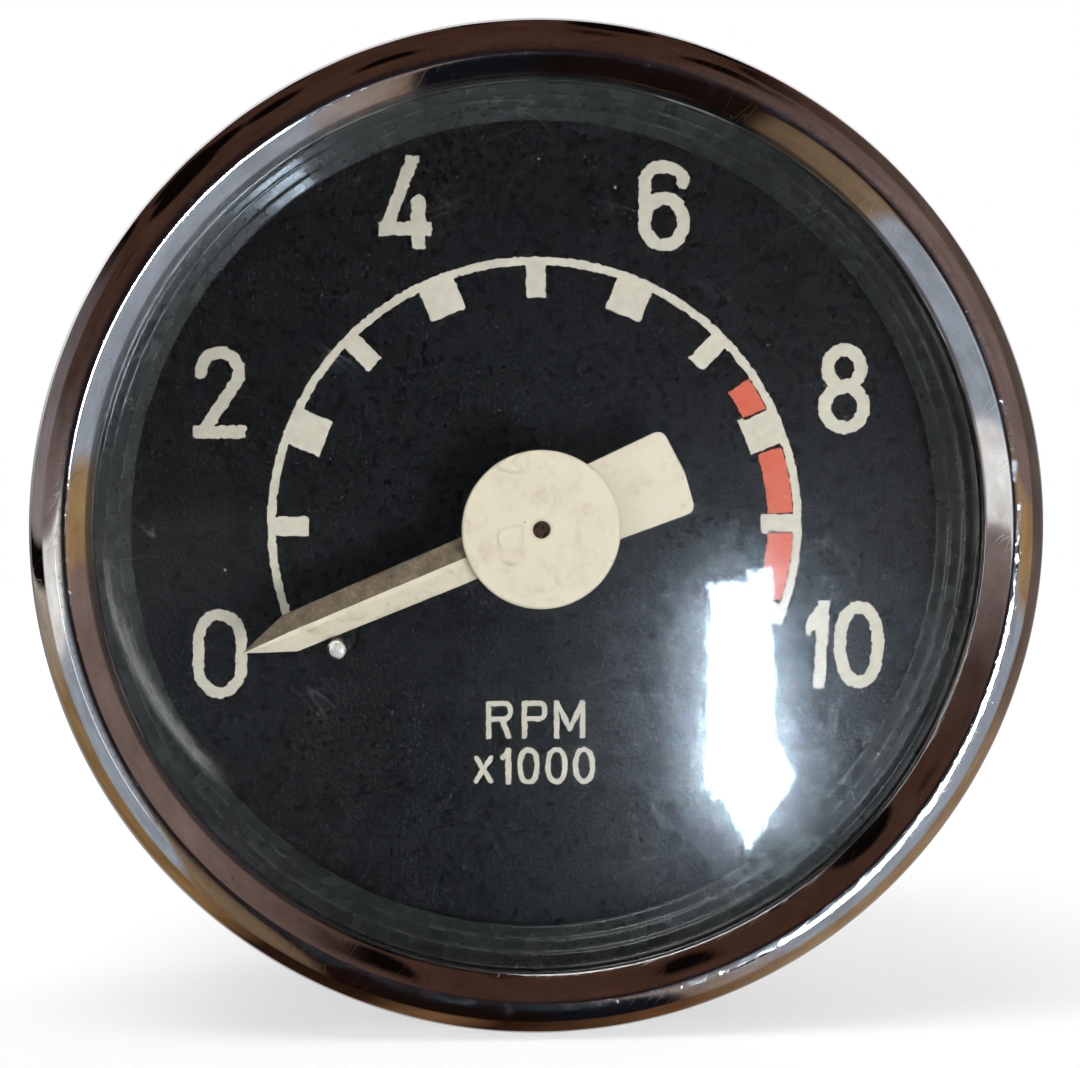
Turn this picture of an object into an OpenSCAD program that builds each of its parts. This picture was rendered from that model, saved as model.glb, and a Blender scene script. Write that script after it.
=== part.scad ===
// Motorcycle tachometer with a magnetic drag-cup movement, in millimetres.
// X is right, Z is up and the dial faces -Y. The origin is the centre of the
// outer face of the case back, between the two mounting studs.
// Inside the modules the axis of the instrument is local Z, from back to front.

/* [Case] */
// Outer radius of the case barrel
case_r = 40; // [36:0.5:44]
// Depth from the case back to the front of the case flange
case_depth = 46; // [45:0.5:52]
// Thickness of the drawn steel sheet
case_wall = 1; // [0.8:0.1:1.3]
// Outer radius of the rounded edge round the case back
case_edge_r = 4; // [3:0.5:4.5]
// Thickness of the flange
flange_t = 1.2; // [1:0.1:1.6]

/* [Mounting studs] */
// Clearance between a stud's head and the flange of the movement frame
stud_gap = 0.4; // [0.2:0.1:3]
// Radius of the stud shank
stud_r = 2.5; // [2:0.1:2.6]
// Length of the shank behind the case
stud_len = 16; // [12:0.5:22]
// Radius of the stud's pressed collar in the case back
stud_press_r = 2.8; // [2.7:0.1:3.2]
// Radius of the stud head inside the case
stud_head_r = 4; // [3.5:0.1:4.4]
// Thickness of the stud head
stud_head_t = 2; // [1.5:0.1:3]

/* [Bezel] */
// How far the bezel stands out beyond the case barrel
bezel_over = 3; // [2.7:0.1:4]
// Clearance between the case flange and the inside of the bezel
flange_fit = 0.3; // [0.2:0.1:0.6]
// Distance of the bezel's highest circle from its outer edge
crest_in = 3; // [2.6:0.1:3.6]
// Height of the crest above the lens flange
crest_rise = 2.6; // [2.4:0.1:3.6]
// Radial width from the inner lip to the highest circle
lip_w = 2.4; // [2:0.1:2.8]
// Height of the inner lip above the lens flange
lip_h = 1.2; // [0.9:0.1:1.6]
// Radius of the rolled crest on its inner side
crest_roll_r = 0.8; // [0.6:0.1:1]
// Height of the rounded shoulder outside the crest
shoulder_h = 3.5; // [2.5:0.1:4]
// Thickness of the bezel sheet
bezel_t = 0.8; // [0.6:0.1:1]
// Clearance between the bezel's crimped edge and the case barrel
crimp_gap = 0.9; // [0.6:0.1:1.2]

/* [Lens] */
// Clearance between the lens flange and the inside of the bezel
lens_fit = 1; // [0.6:0.1:1.4]
// Thickness of the lens flange
lens_flange_t = 2; // [1.6:0.1:2.6]
// Clearance between the lens dome and the bezel's lip
dome_gap = 0.2; // [0.1:0.1:0.6]
// Rise of the dome's outer surface above the flange
dome_rise = 5.7; // [5:0.1:7.5]
// Thickness of the glass in the dome
dome_t = 2; // [1.6:0.1:2.4]
// Thickness of the rubber gasket under the lens
gasket_t = 1; // [0.8:0.1:1.6]
// Radial width of the gasket
gasket_w = 3.4; // [2.4:0.1:3.8]

/* [Trim ring] */
// Radial width of the ring's steps, down to the edge of the visible dial
trim_w = 3.1; // [2.6:0.1:3.6]
// Thickness of the ring's flange and of its sheet
trim_t = 0.8; // [0.6:0.1:1]
// Clearance between the ring's flange and the inside of the bezel
trim_fit = 0.6; // [0.4:0.1:1]
// How far inside the bezel's lip the steps begin
trim_land_in = 0.1; // [0.1:0.1:0.4]
// Clearance between the back of the steps and the case wall
trim_back_gap = 0.4; // [0.2:0.1:0.6]
// Number of steps down to the dial
trim_steps = 3; // [2:1:4]
// Gap between the ring's lower edge and the dial
trim_gap = 0.3; // [0.2:0.1:0.6]

/* [Dial] */
// Depth of the dial face below the front of the case flange
dial_drop = 3; // [2.6:0.1:3.6]
// Clearance between the dial plate and the case wall
dial_fit = 0.8; // [0.4:0.1:1.6]
// Thickness of the dial plate
dial_t = 0.8; // [0.6:0.1:1.2]
// Radius of the centre hole of the dial
dial_hole_r = 3; // [2.4:0.1:4]
// Thickness of the printed ink
ink_t = 0.08; // [0.06:0.01:0.14]

/* [Scale print] */
// Highest number on the scale, in thousands
scale_max = 10; // [8:2:12]
// Angle of one thousand on the scale, in degrees
thousand_angle = 22.5; // [20:0.5:22.5]
// Distance of the circle of figures from the edge of the visible dial
figure_in = 5.4; // [4.8:0.1:6.4]
// Distance of the printed arc from the circle of figures
arc_in = 6.1; // [5:0.1:7]
// Width of the printed arc
arc_w = 0.7; // [0.5:0.05:1]
// Length of a scale mark, with the width of the arc
mark_len = 3.5; // [2.8:0.1:4]
// Width of an even mark
mark_wide = 3.2; // [2.6:0.1:3.6]
// Width of an odd mark
mark_thin = 1.65; // [1:0.05:2]
// Number of thousands at which the red zone starts
red_number = 7.5; // [6.5:0.5:8.5]
// How far the red zone's inner edge lies outside the ends of the marks
red_short = 0.6; // [0.1:0.1:1.2]
// Gap between the red ink and the arc
red_gap = 0.05; // [0.05:0.05:0.2]
// Height of a figure
figure_h = 7.5; // [6.5:0.1:8]
// Width of a figure
figure_w = 4.4; // [3.8:0.1:4.8]
// Width of a figure's stroke
figure_stroke = 1.15; // [0.9:0.05:1.3]
// Height of a letter of the unit line
unit_h = 3.2; // [2.6:0.1:3.6]
// Width of a stroke of the unit line
unit_stroke = 0.5; // [0.4:0.05:0.6]
// Distance of the upper unit line from the arc's radius
unit_in = 5.9; // [5.5:0.1:7]
// Distance between the two unit lines
unit_pitch = 3.9; // [3.7:0.1:5]

/* [Pointer] */
// How far the pointer's tip reaches beyond the arc
tip_over = 4.1; // [2:0.1:5]
// Length of the tail from the axis
tail_r = 13.1; // [11:0.1:15]
// Width of the blade at the hub
blade_w0 = 3.8; // [3.2:0.1:4.4]
// Width of the blade at its shoulder
blade_w1 = 3.3; // [2.6:0.1:3.6]
// Length of the pointed end of the blade
point_len = 4.2; // [3:0.1:6]
// Width of the tail at the hub
tail_w0 = 6.4; // [5:0.1:7]
// Width of the tail at its end
tail_w1 = 7.5; // [6:0.1:8.5]
// Radius of the tail's rounded corners
tail_corner_r = 0.6; // [0.3:0.1:1]
// Thickness of the pointer sheet
blade_t = 0.6; // [0.4:0.05:0.8]
// Height of the ridge along the blade
ridge_h = 0.5; // [0.3:0.05:0.6]
// Height of the pointer's underside above the dial
pointer_gap = 4.2; // [3.8:0.1:4.6]
// Radius of the round cap on the hub
cap_r = 6.7; // [5.6:0.1:7.5]
// Thickness of the cap
cap_t = 1.2; // [0.9:0.05:1.3]
// Radius of the pointer's bush
point_bush_r = 1.6; // [1.4:0.1:2]
// Depth of the spindle's end below the face of the cap
spindle_recess = 0.4; // [0.2:0.1:0.6]

/* [Stop pin] */
// Radius of the pointer's stop pin
pin_r = 0.85; // [0.7:0.05:1]
// Outward lean of the pin, which has been bent, in degrees
pin_lean = 12; // [6:1:14]
// Gap between the pin and the pointer at rest
pin_gap = 0.12; // [0.08:0.02:0.3]
// Distance of the pin, at the height of the pointer, inside the arc's radius
pin_in = 3.2; // [2.6:0.1:4.4]
// Height of the pin's top above the pointer's underside
pin_top = 1.4; // [1.1:0.1:1.8]
// Radius of the oversize hole in the dial for the pin
pin_hole_r = 1.25; // [1.15:0.05:1.5]

/* [Movement frame] */
// Width of the frame's flange outside the pillars
frame_edge = 0.1; // [0.1:0.1:0.6]
// Thickness of the frame's flange
frame_t = 4; // [3.6:0.1:5]
// Radius of the neck that passes through the case back
neck_r = 7.3; // [7:0.1:7.8]
// Length of the neck behind the case
neck_len = 2; // [1:0.1:3]
// Outer radius of the drive spigot's thread
spigot_r = 6; // [5.5:0.1:6.5]
// Length of the drive spigot behind the neck
spigot_len = 12; // [10:0.5:16]
// Radius of the socket for the drive cable's ferrule
ferrule_r = 4.1; // [4:0.05:4.5]
// Depth of the socket for the ferrule
ferrule_len = 9; // [7:0.5:11]
// Radius of the boss round the front bush
boss_r = 6.4; // [5.5:0.1:7]
// Height of the boss above the flange
boss_h = 4.6; // [4:0.1:6]
// Clearance between the flange's scallop and the lamp's grommet
scallop_gap = 2.6; // [1:0.1:3]
// Depth of the pillars' feet in the flange
foot_len = 3; // [2:0.1:3.4]
// Distance between the two frame screws
frame_screw_spacing = 25; // [24:0.5:27]
// Radius of a frame screw's shank
frame_screw_r = 2; // [1.5:0.1:2.2]
// Radius of a frame screw's head
frame_head_r = 3.4; // [3:0.1:3.6]
// Height of a frame screw's head
frame_head_h = 2.4; // [2:0.1:3]
// Radius of a spring washer under a frame screw
washer_r = 3.9; // [3.6:0.1:4.1]
// Thickness of a spring washer
washer_t = 0.6; // [0.5:0.1:1]

/* [Drive shaft] */
// Radius of the drive shaft
shaft_r = 2.5; // [2.3:0.05:2.8]
// Running clearance round a shaft
run_gap = 0.04; // [0.02:0.01:0.08]
// Outer radius of the bushes
bush_r = 3.5; // [3.3:0.05:3.8]
// Length of the rear bush
rear_bush_len = 4.5; // [4:0.1:5]
// Length of the front bush
front_bush_len = 4; // [3:0.1:5]
// Radius of the shaft's collar
collar_r = 5; // [4.5:0.1:6]
// Thickness of the collar
collar_t = 1.8; // [1.4:0.1:2.4]
// Thickness of the thrust washer
thrust_t = 0.55; // [0.4:0.05:0.8]
// Free end play of the shaft
end_play = 0.08; // [0.05:0.01:0.15]
// Width across the square drive socket
square_w = 2.7; // [2.5:0.05:2.9]
// Depth of the square drive socket
square_depth = 9; // [7:0.5:11]
// Radius of the retaining clip
clip_r = 3.3; // [3.1:0.05:3.45]
// Thickness of the retaining clip
clip_t = 0.5; // [0.4:0.05:0.7]

/* [Magnet and cups] */
// Outer radius of the magnet
magnet_r = 9.7; // [9:0.1:10]
// Height of the magnet
magnet_h = 6.5; // [5:0.1:7]
// Air gap between the magnet and the drag cup
air_gap = 0.8; // [0.5:0.05:1]
// Thickness of the drag cup's wall
cup_t = 0.7; // [0.5:0.05:0.9]
// Depth of the drag cup's skirt below its crown
cup_skirt = 7.5; // [6:0.1:8]
// Gap between the drag cup and the field cup
field_gap = 0.8; // [0.6:0.05:1]
// Thickness of the field cup's wall
field_t = 0.8; // [0.6:0.05:0.9]
// Clearance between the shaft's front end and the drag cup's crown
crown_gap = 1.5; // [1.2:0.1:2.5]

/* [Spindle] */
// Radius of the spindle
spindle_r = 0.75; // [0.6:0.05:0.9]
// Radius of the spindle's lower pivot
pivot_r = 0.35; // [0.25:0.05:0.45]
// Length of the lower pivot
pivot_len = 1.7; // [1.4:0.1:1.9]
// Outer radius of the pivot bearing in the drive shaft
pivot_bearing_r = 1.6; // [1.4:0.05:1.8]
// Length of the pivot bearing
pivot_bearing_len = 2; // [2:0.1:3]
// Radius of the collets pressed on the spindle
collet_r = 2; // [1.6:0.1:2.4]
// Height of a collet
collet_h = 2; // [1.6:0.1:2.4]

/* [Bridge] */
// Length of the posts between the bridge and the dial
post_len = 8; // [7:0.1:9]
// Width of the bridge plate outside the stop pin or the pillars
bridge_edge = 4.3; // [3:0.1:6]
// Thickness of the bridge plate
bridge_t = 1.2; // [1:0.1:1.6]
// Clearance between the frame pillars and the turning field cup
pillar_gap = 0.7; // [0.5:0.1:1.5]
// Radius of a frame pillar
pillar_r = 2; // [1.8:0.05:2.1]
// Radius of a pillar screw's shank
pillar_screw_r = 1.25; // [1:0.05:1.4]
// Radius of a pillar screw's head
pillar_head_r = 2.2; // [1.8:0.1:2.4]
// Height of a pillar screw's head
pillar_head_h = 1.5; // [1.2:0.1:2]
// Distance of a dial post's axis from the edge of the bridge
post_in = 3; // [2.4:0.1:3.6]
// Radius of a dial post
post_r = 1.8; // [1.6:0.05:2]
// Radius of a dial screw's shank
dial_screw_r = 1; // [0.8:0.05:1.1]
// Radius of a dial screw's head
dial_head_r = 1.9; // [1.6:0.1:2.2]
// Height of a dial screw's head
dial_head_h = 1.3; // [1:0.1:1.6]
// Outer radius of the upper spindle bearing
bearing_r = 2.5; // [2:0.1:3]
// Width of the upper bearing's flange
bearing_flange_w = 0.9; // [0.6:0.1:1.2]
// Thickness of the upper bearing's flange
bearing_flange_t = 0.8; // [0.6:0.1:1]

/* [Hairspring] */
// Number of turns of the hairspring
spring_turns = 5.5; // [4:0.5:6.5]
// Thickness of the hairspring's ribbon
spring_t = 0.15; // [0.1:0.01:0.2]
// Height of the hairspring's ribbon
spring_h = 1.2; // [0.8:0.1:1.6]
// Distance from the axis to the spring's fixed stud
spring_stud_x = 8.4; // [7.6:0.1:9.2]
// Radius of the fixed stud
spring_stud_r = 0.7; // [0.5:0.05:0.9]
// Drop from the bridge to the middle of the hairspring
spring_drop = 2.8; // [2.6:0.1:4.4]
// Thickness of the regulator arm that carries the stud
regulator_t = 0.8; // [0.6:0.1:1]
// Width of the regulator arm
regulator_w = 2.4; // [2:0.1:3]

/* [Lamp] */
// Clearance between the lamp's grommet and the rounded edge of the case back
lamp_edge_gap = 0.5; // [0.1:0.1:0.6]
// Outer radius of the lamp holder's tube
lamp_r = 5.5; // [5.3:0.1:5.8]
// Wall of the lamp holder's tube
lamp_wall = 0.85; // [0.6:0.05:1]
// Length of the tube inside the case, from the case back
lamp_in = 15; // [12:0.5:18]
// Length of the tube behind the case back
lamp_out = 8; // [6.5:0.5:10]
// Sliding clearance of the lamp holder in its grommet
lamp_gap = 0.04; // [0.02:0.01:0.08]
// Radius of the bead on the tube that seats on the grommet
bead_r = 7; // [6.6:0.1:7.6]
// Thickness of the bead
bead_t = 0.8; // [0.6:0.1:1]
// Radius of the hole in the case back for the grommet
lamp_hole_r = 6.7; // [6.4:0.1:7]
// Radius of the grommet's lips
grommet_r = 8; // [7.6:0.1:8.1]
// Thickness of each grommet lip
grommet_lip = 1.6; // [1.2:0.1:2]
// Thickness of the insulating disc that closes the tube
insulator_t = 2; // [1.5:0.1:3]
// Radius of the centre contact
contact_r = 1.2; // [1:0.1:1.6]
// Width of a spade terminal
spade_w = 4.8; // [4:0.1:5.6]
// Thickness of a spade terminal
spade_t = 0.8; // [0.6:0.1:1]
// Length of a spade terminal behind the tube
spade_len = 7; // [6:0.5:9]
// Length of the bulb's metal base
bulb_base_len = 9; // [8:0.5:10]
// Radius of the bulb's glass
bulb_r = 4.4; // [3.8:0.1:4.5]
// Length of the bulb's glass
bulb_len = 12; // [10:0.5:14]
// Thickness of the bulb's glass
bulb_t = 0.5; // [0.4:0.1:0.7]

/* [Hidden] */
// A cut or hole runs this far past the faces that it passes through
past = 1;
round_fn = 96;
arc_steps = 10;

// Radii of the front, from the case barrel outwards and then inwards
bezel_r = case_r + bezel_over;
bezel_in_r = bezel_r - bezel_t;
flange_r = bezel_in_r - flange_fit;
crest_r = bezel_r - crest_in;
lip_r = crest_r - lip_w;
lens_r = bezel_in_r - lens_fit;
dome_r = lip_r - dome_gap;
trim_flange_r = bezel_in_r - trim_fit;
trim_land_r = lip_r - trim_land_in;
trim_in_r = trim_land_r - trim_w;
dial_r = case_r - case_wall - dial_fit;

// Radii of the print and the pointer, from the edge of the visible dial inwards
figure_circle_r = trim_in_r - figure_in;
arc_r = figure_circle_r - arc_in;
mark_in_r = arc_r - mark_len;
red_in_r = mark_in_r + red_short;
tip_r = arc_r + tip_over;
pin_circle_r = arc_r - pin_in;
unit_y1 = arc_r - unit_in;
unit_y2 = unit_y1 + unit_pitch;

// Heights of the front: case flange, trim ring, gasket, lens and bezel
trim_z = case_depth;
gasket_z = trim_z + trim_t;
lens_z = gasket_z + gasket_t;
lens_top_z = lens_z + lens_flange_t;
crest_z = lens_top_z + crest_rise;
lip_z = lens_top_z + lip_h;
shoulder_z = crest_z - shoulder_h;
crimp_z = case_depth - flange_t;
dome_sphere_r = (dome_r * dome_r + dome_rise * dome_rise) / (2 * dome_rise);
dome_centre_z = lens_top_z + dome_rise - dome_sphere_r;

// Dial, bridge and pointer levels
dial_z = case_depth - dial_drop;
dial_back_z = dial_z - dial_t;
bridge_z = dial_back_z - post_len;
bridge_back_z = bridge_z - bridge_t;
pointer_z = dial_z + pointer_gap;
blade_top_z = pointer_z + blade_t + ridge_h;
cap_top_z = blade_top_z + cap_t;
spindle_top_z = cap_top_z - spindle_recess;
spring_z = bridge_back_z - spring_drop;

// The pointer bush: a flange under the pointer and a skirt below it
bush_flange_t = 0.8;
bush_flange_w = 1.4;
bush_flange_r = point_bush_r + bush_flange_w;
bush_skirt = 1.2;
bush_low_z = pointer_z - bush_flange_t - bush_skirt;

// Small distances in the drive train: step behind the rear bush, depth of the
// clip's groove, shaft behind the clip and before the magnet, and pivot shoulder
rear_step = 2;
groove_depth = 0.3;
shaft_behind = 1.1;
shaft_before = 1;
pivot_shoulder = 0.4;

// Drive train levels, from the spigot forward
frame_top_z = case_wall + frame_t;
boss_z = frame_top_z + boss_h;
spigot_z = -neck_len - spigot_len;
ferrule_z = spigot_z + ferrule_len;
front_bush_z = boss_z - front_bush_len;
rear_bush_z = ferrule_z + clip_t + rear_step;
rear_bush_top_z = rear_bush_z + rear_bush_len;
collar_z = boss_z + thrust_t + end_play;
collar_top_z = collar_z + collar_t;
clip_z = rear_bush_z - end_play - clip_t;
clip_groove_r = shaft_r - groove_depth;
shaft_z = clip_z - shaft_behind;
magnet_z = collar_top_z + field_t;
shaft_top_z = magnet_z + magnet_h + shaft_before;
pivot_bearing_z = shaft_top_z - pivot_bearing_len;
spindle_z = shaft_top_z + pivot_shoulder;
cup_in_r = magnet_r + air_gap;
cup_out_r = cup_in_r + cup_t;
cup_crown_z = shaft_top_z + crown_gap;
field_in_r = cup_out_r + field_gap;
field_out_r = field_in_r + field_t;
field_h = cup_crown_z - collar_top_z;

// The pillars stand round the field cup, and the frame and the studs outside them
pillar_circle_r = field_out_r + pillar_gap + pillar_r;
frame_r = pillar_circle_r + pillar_r + frame_edge;
stud_spacing = 2 * (frame_r + stud_gap + stud_head_r);

// Threads: length of a pillar screw's end in its pillar, spare thread beyond a
// screw, and the solid end of a dial post
bridge_screw_len = 3.8;
thread_spare = 0.2;
post_floor = 2;

// Angles of the three pillars and of the two posts; the lamp stands at 270
PILLAR_ANGLES = [75, 195, 315];
POST_ANGLES = [0, 180];

// The pointer rests on zero, and the pin stands under its blade
zero_angle = 90 + scale_max / 2 * thousand_angle;
blade_len = tip_r - point_len;
blade_w_at_pin = blade_w0 + (blade_w1 - blade_w0) * (pin_circle_r - cap_r) / (blade_len - cap_r);
pin_offset = blade_w_at_pin / 2 + pin_gap + pin_r / cos(pin_lean);
pin_angle = zero_angle + asin(pin_offset / pin_circle_r);
pin_top_z = pointer_z + pin_top;
pin_len = (pin_top_z - bridge_back_z) / cos(pin_lean);
pin_hole_x = pin_circle_r - (pointer_z - dial_z) * tan(pin_lean);
pin_foot_r = pin_circle_r - (pointer_z - bridge_back_z) * tan(pin_lean);

// The bridge reaches past the outermost of the stop pin and the pillars
bridge_r = max(pin_foot_r, pillar_circle_r) + bridge_edge;
post_circle_r = bridge_r - post_in;

// The lamp: its place, its levels, and the spring space and length of its contact
contact_space = 3;
contact_len = 1;
lamp_y = case_r - case_edge_r - grommet_r - lamp_edge_gap;
lamp_in_r = lamp_r - lamp_wall;
bead_z = -grommet_lip - lamp_gap - bead_t;
contact_z = lamp_in - bulb_base_len - contact_space;
bulb_base_z = contact_z + contact_len;
bulb_glass_z = bulb_base_z + bulb_base_len;

// Places the instrument's local axis along -Y, with the dial's top up
module stand() {
  rotate([90, 0, 0]) children();
}

// Points along an arc of an ellipse, from angle a0 to a1
function arc(c, rx, ry, a0, a1) = [
  for (i = [0 : arc_steps])
    let (a = a0 + (a1 - a0) * i / arc_steps)
      [c[0] + rx * cos(a), c[1] + ry * sin(a)]
];

// A tube or washer from z, with outer radius r and bore radius bore
module tube(r, bore, z, h) {
  translate([0, 0, z])
    difference() {
      cylinder(r = r, h = h, $fn = round_fn);
      translate([0, 0, -past]) cylinder(r = bore, h = h + 2 * past, $fn = round_fn);
    }
}

// A solid round bar from z
module rod(r, z, h) {
  translate([0, 0, z]) cylinder(r = r, h = h, $fn = round_fn);
}

// A screw whose head starts at z and whose shank points down from it
module screw(shank_r, shank_len, head_r, head_h) {
  slot_w = shank_r * 0.5;
  difference() {
    union() {
      cylinder(r = head_r, h = head_h, $fn = round_fn);
      translate([0, 0, -shank_len]) cylinder(r = shank_r, h = shank_len, $fn = round_fn);
    }
    translate([-head_r - past, -slot_w / 2, head_h * 0.55])
      cube([2 * (head_r + past), slot_w, head_h]);
  }
}

module at_pillars() {
  for (a = PILLAR_ANGLES) rotate([0, 0, a]) translate([pillar_circle_r, 0, 0]) children();
}

module at_posts() {
  for (a = POST_ANGLES) rotate([0, 0, a]) translate([post_circle_r, 0, 0]) children();
}

module at_studs() {
  for (s = [-1, 1]) translate([s * stud_spacing / 2, 0, 0]) children();
}

module at_frame_screws() {
  for (s = [-1, 1]) translate([s * frame_screw_spacing / 2, 0, 0]) children();
}

module at_lamp() {
  translate([0, -lamp_y, 0]) children();
}

// The case: a drawn steel cup with a flange, its holes in the back
module case() {
  edge = [case_r - case_edge_r, case_edge_r];
  inner_edge = case_edge_r - case_wall;
  neck_fit = 0.1;
  screw_fit = 0.2;
  color("#2b2c2e")
    stand()
      difference() {
        rotate_extrude($fn = round_fn)
          polygon(concat(
            [[0, 0]],
            arc(edge, case_edge_r, case_edge_r, -90, 0),
            [[case_r, crimp_z], [flange_r, crimp_z]],
            [[flange_r, case_depth], [case_r - case_wall, case_depth]],
            arc(edge, inner_edge, inner_edge, 0, -90),
            [[0, case_wall]]
          ));
        rod(neck_r + neck_fit, -past, case_wall + 2 * past);
        at_studs() rod(stud_press_r, -past, case_wall + 2 * past);
        at_frame_screws() rod(frame_screw_r + screw_fit, -past, case_wall + 2 * past);
        at_lamp() rod(lamp_hole_r, -past, case_wall + 2 * past);
      }
}

// Two steel studs pressed into the case back, heads inside
module mounting_studs() {
  color("#b9bcc0")
    stand()
      at_studs() {
        rod(stud_r, -stud_len, stud_len);
        rod(stud_press_r, 0, case_wall);
        rod(stud_head_r, case_wall, stud_head_t);
      }
}

// Die-cast frame, bored right through: flange with a scallop for the lamp, boss,
// neck and drive spigot
module movement_frame() {
  hole_floor = 1;
  color("#9a9c9b")
    stand()
      difference() {
        rotate_extrude($fn = round_fn)
          polygon([
            [ferrule_r, spigot_z], [spigot_r, spigot_z], [spigot_r, -neck_len],
            [neck_r, -neck_len], [neck_r, case_wall], [frame_r, case_wall],
            [frame_r, frame_top_z], [boss_r, frame_top_z], [boss_r, boss_z],
            [bush_r, boss_z], [bush_r, ferrule_z], [ferrule_r, ferrule_z]
          ]);
        at_lamp() rod(grommet_r + scallop_gap, case_wall - past, frame_t + 2 * past);
        at_frame_screws() rod(frame_screw_r, case_wall - past, frame_t - hole_floor + past);
        at_pillars() rod(pillar_screw_r, frame_top_z - foot_len, foot_len + past);
      }
}

// Two screws that hold the frame to the case back from behind
module frame_screws() {
  end_gap = 0.2;
  color("#a9adb2")
    stand()
      at_frame_screws()
        translate([0, 0, -washer_t])
          mirror([0, 0, 1])
            screw(frame_screw_r, washer_t + frame_t - end_gap, frame_head_r, frame_head_h);
}

module frame_washers() {
  color("#8f9499")
    stand()
      at_frame_screws() tube(washer_r, frame_screw_r, -washer_t, washer_t);
}

module rear_bush() {
  color("#b08a4c")
    stand() tube(bush_r, shaft_r + run_gap, rear_bush_z, rear_bush_len);
}

module oil_felt() {
  felt_gap = 0.2;
  color("#b8a98c")
    stand() tube(bush_r, shaft_r + felt_gap, rear_bush_top_z, front_bush_z - rear_bush_top_z);
}

module front_bush() {
  color("#b08a4c")
    stand() tube(bush_r, shaft_r + run_gap, front_bush_z, front_bush_len);
}

module thrust_washer() {
  color("#c9c2a5")
    stand() tube(collar_r, shaft_r + run_gap, boss_z, thrust_t);
}

// Steel shaft: square socket behind, clip groove, collar, and a bearing seat in front
module drive_shaft() {
  color("#aeb2b6")
    stand()
      difference() {
        union() {
          rod(shaft_r, shaft_z, shaft_top_z - shaft_z);
          rod(collar_r, collar_z, collar_t);
        }
        tube(shaft_r + past, clip_groove_r, clip_z, clip_t);
        translate([-square_w / 2, -square_w / 2, shaft_z - past])
          cube([square_w, square_w, square_depth + past]);
        rod(pivot_bearing_r, pivot_bearing_z, pivot_bearing_len + past);
      }
}

// Open retaining clip in the shaft's groove
module shaft_clip() {
  mouth = 2 * clip_groove_r * 0.8;
  color("#6d7277")
    stand()
      difference() {
        tube(clip_r, clip_groove_r, clip_z, clip_t);
        translate([0, -mouth / 2, clip_z - past]) cube([clip_r + past, mouth, clip_t + 2 * past]);
      }
}

// Soft-iron cup that turns with the magnet and closes its field
module field_cup() {
  color("#8d9296")
    stand() {
      difference() {
        rod(field_out_r, collar_top_z, field_h);
        rod(field_in_r, magnet_z, field_h);
        rod(shaft_r, collar_top_z - past, field_t + 2 * past);
      }
    }
}

module magnet() {
  color("#3c3f44")
    stand() tube(magnet_r, shaft_r, magnet_z, magnet_h);
}

// Brass insert that carries the spindle's lower pivot
module pivot_bearing() {
  color("#c7a252")
    stand()
      difference() {
        rod(pivot_bearing_r, pivot_bearing_z, pivot_bearing_len);
        rod(pivot_r + run_gap, shaft_top_z - pivot_len, pivot_len + past);
      }
}

// Three steel pillars, drilled for their screws, their feet riveted in the frame
module frame_pillars() {
  thread_len = bridge_screw_len + thread_spare;
  color("#b4b8bc")
    stand()
      at_pillars()
        difference() {
          union() {
            rod(pillar_r, frame_top_z, bridge_back_z - frame_top_z);
            rod(pillar_screw_r, frame_top_z - foot_len, foot_len);
          }
          rod(pillar_screw_r, bridge_back_z - thread_len, thread_len + past);
        }
}

module leaning_pin(r) {
  rotate([0, 0, pin_angle])
    translate([pin_foot_r, 0, bridge_back_z])
      rotate([0, pin_lean, 0])
        cylinder(r = r, h = pin_len, $fn = round_fn);
}

// Brass bridge: holes for bearing, pillar screws, dial screws and stop pin
module bridge_plate() {
  color("#b79a5b")
    stand()
      difference() {
        rod(bridge_r, bridge_back_z, bridge_t);
        rod(bearing_r, bridge_back_z - past, bridge_t + 2 * past);
        at_pillars() rod(pillar_screw_r, bridge_back_z - past, bridge_t + 2 * past);
        at_posts() rod(dial_screw_r, bridge_back_z - past, bridge_t + 2 * past);
        leaning_pin(pin_r);
      }
}

module pillar_screws() {
  color("#9fa3a8")
    stand()
      at_pillars()
        translate([0, 0, bridge_z])
          screw(pillar_screw_r, bridge_t + bridge_screw_len, pillar_head_r, pillar_head_h);
}

// Flanged bearing for the spindle, in the middle of the bridge
module upper_bearing() {
  bearing_over = 0.4;
  bearing_low_z = bridge_back_z - regulator_t - bearing_over;
  color("#caa75a")
    stand()
      difference() {
        union() {
          rod(bearing_r, bearing_low_z, bridge_z - bearing_low_z);
          rod(bearing_r + bearing_flange_w, bridge_z, bearing_flange_t);
        }
        rod(spindle_r + run_gap, bearing_low_z - past,
            bridge_z + bearing_flange_t - bearing_low_z + 2 * past);
      }
}

// Friction-held regulator arm under the bridge, with the stud for the hairspring's outer end
module regulator() {
  stud_over = 0.4;
  hub_w = 1.2;
  stud_low_z = spring_z - spring_h / 2 - stud_over;
  color("#a88b4e")
    stand()
      difference() {
        union() {
          rod(bearing_r + hub_w, bridge_back_z - regulator_t, regulator_t);
          translate([0, -regulator_w / 2, bridge_back_z - regulator_t])
            cube([spring_stud_x, regulator_w, regulator_t]);
          translate([spring_stud_x, 0, 0]) {
            rod(regulator_w / 2, bridge_back_z - regulator_t, regulator_t);
            rod(spring_stud_r, stud_low_z, bridge_back_z - stud_low_z);
          }
        }
        rod(bearing_r, bridge_back_z - regulator_t - past, regulator_t + 2 * past);
      }
}

// Spindle with its lower pivot; it carries drag cup, hairspring and pointer
module spindle() {
  color("#6a4a34")
    stand() {
      rod(spindle_r, spindle_z, spindle_top_z - spindle_z);
      rod(pivot_r, spindle_z - pivot_len, pivot_len);
    }
}

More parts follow.
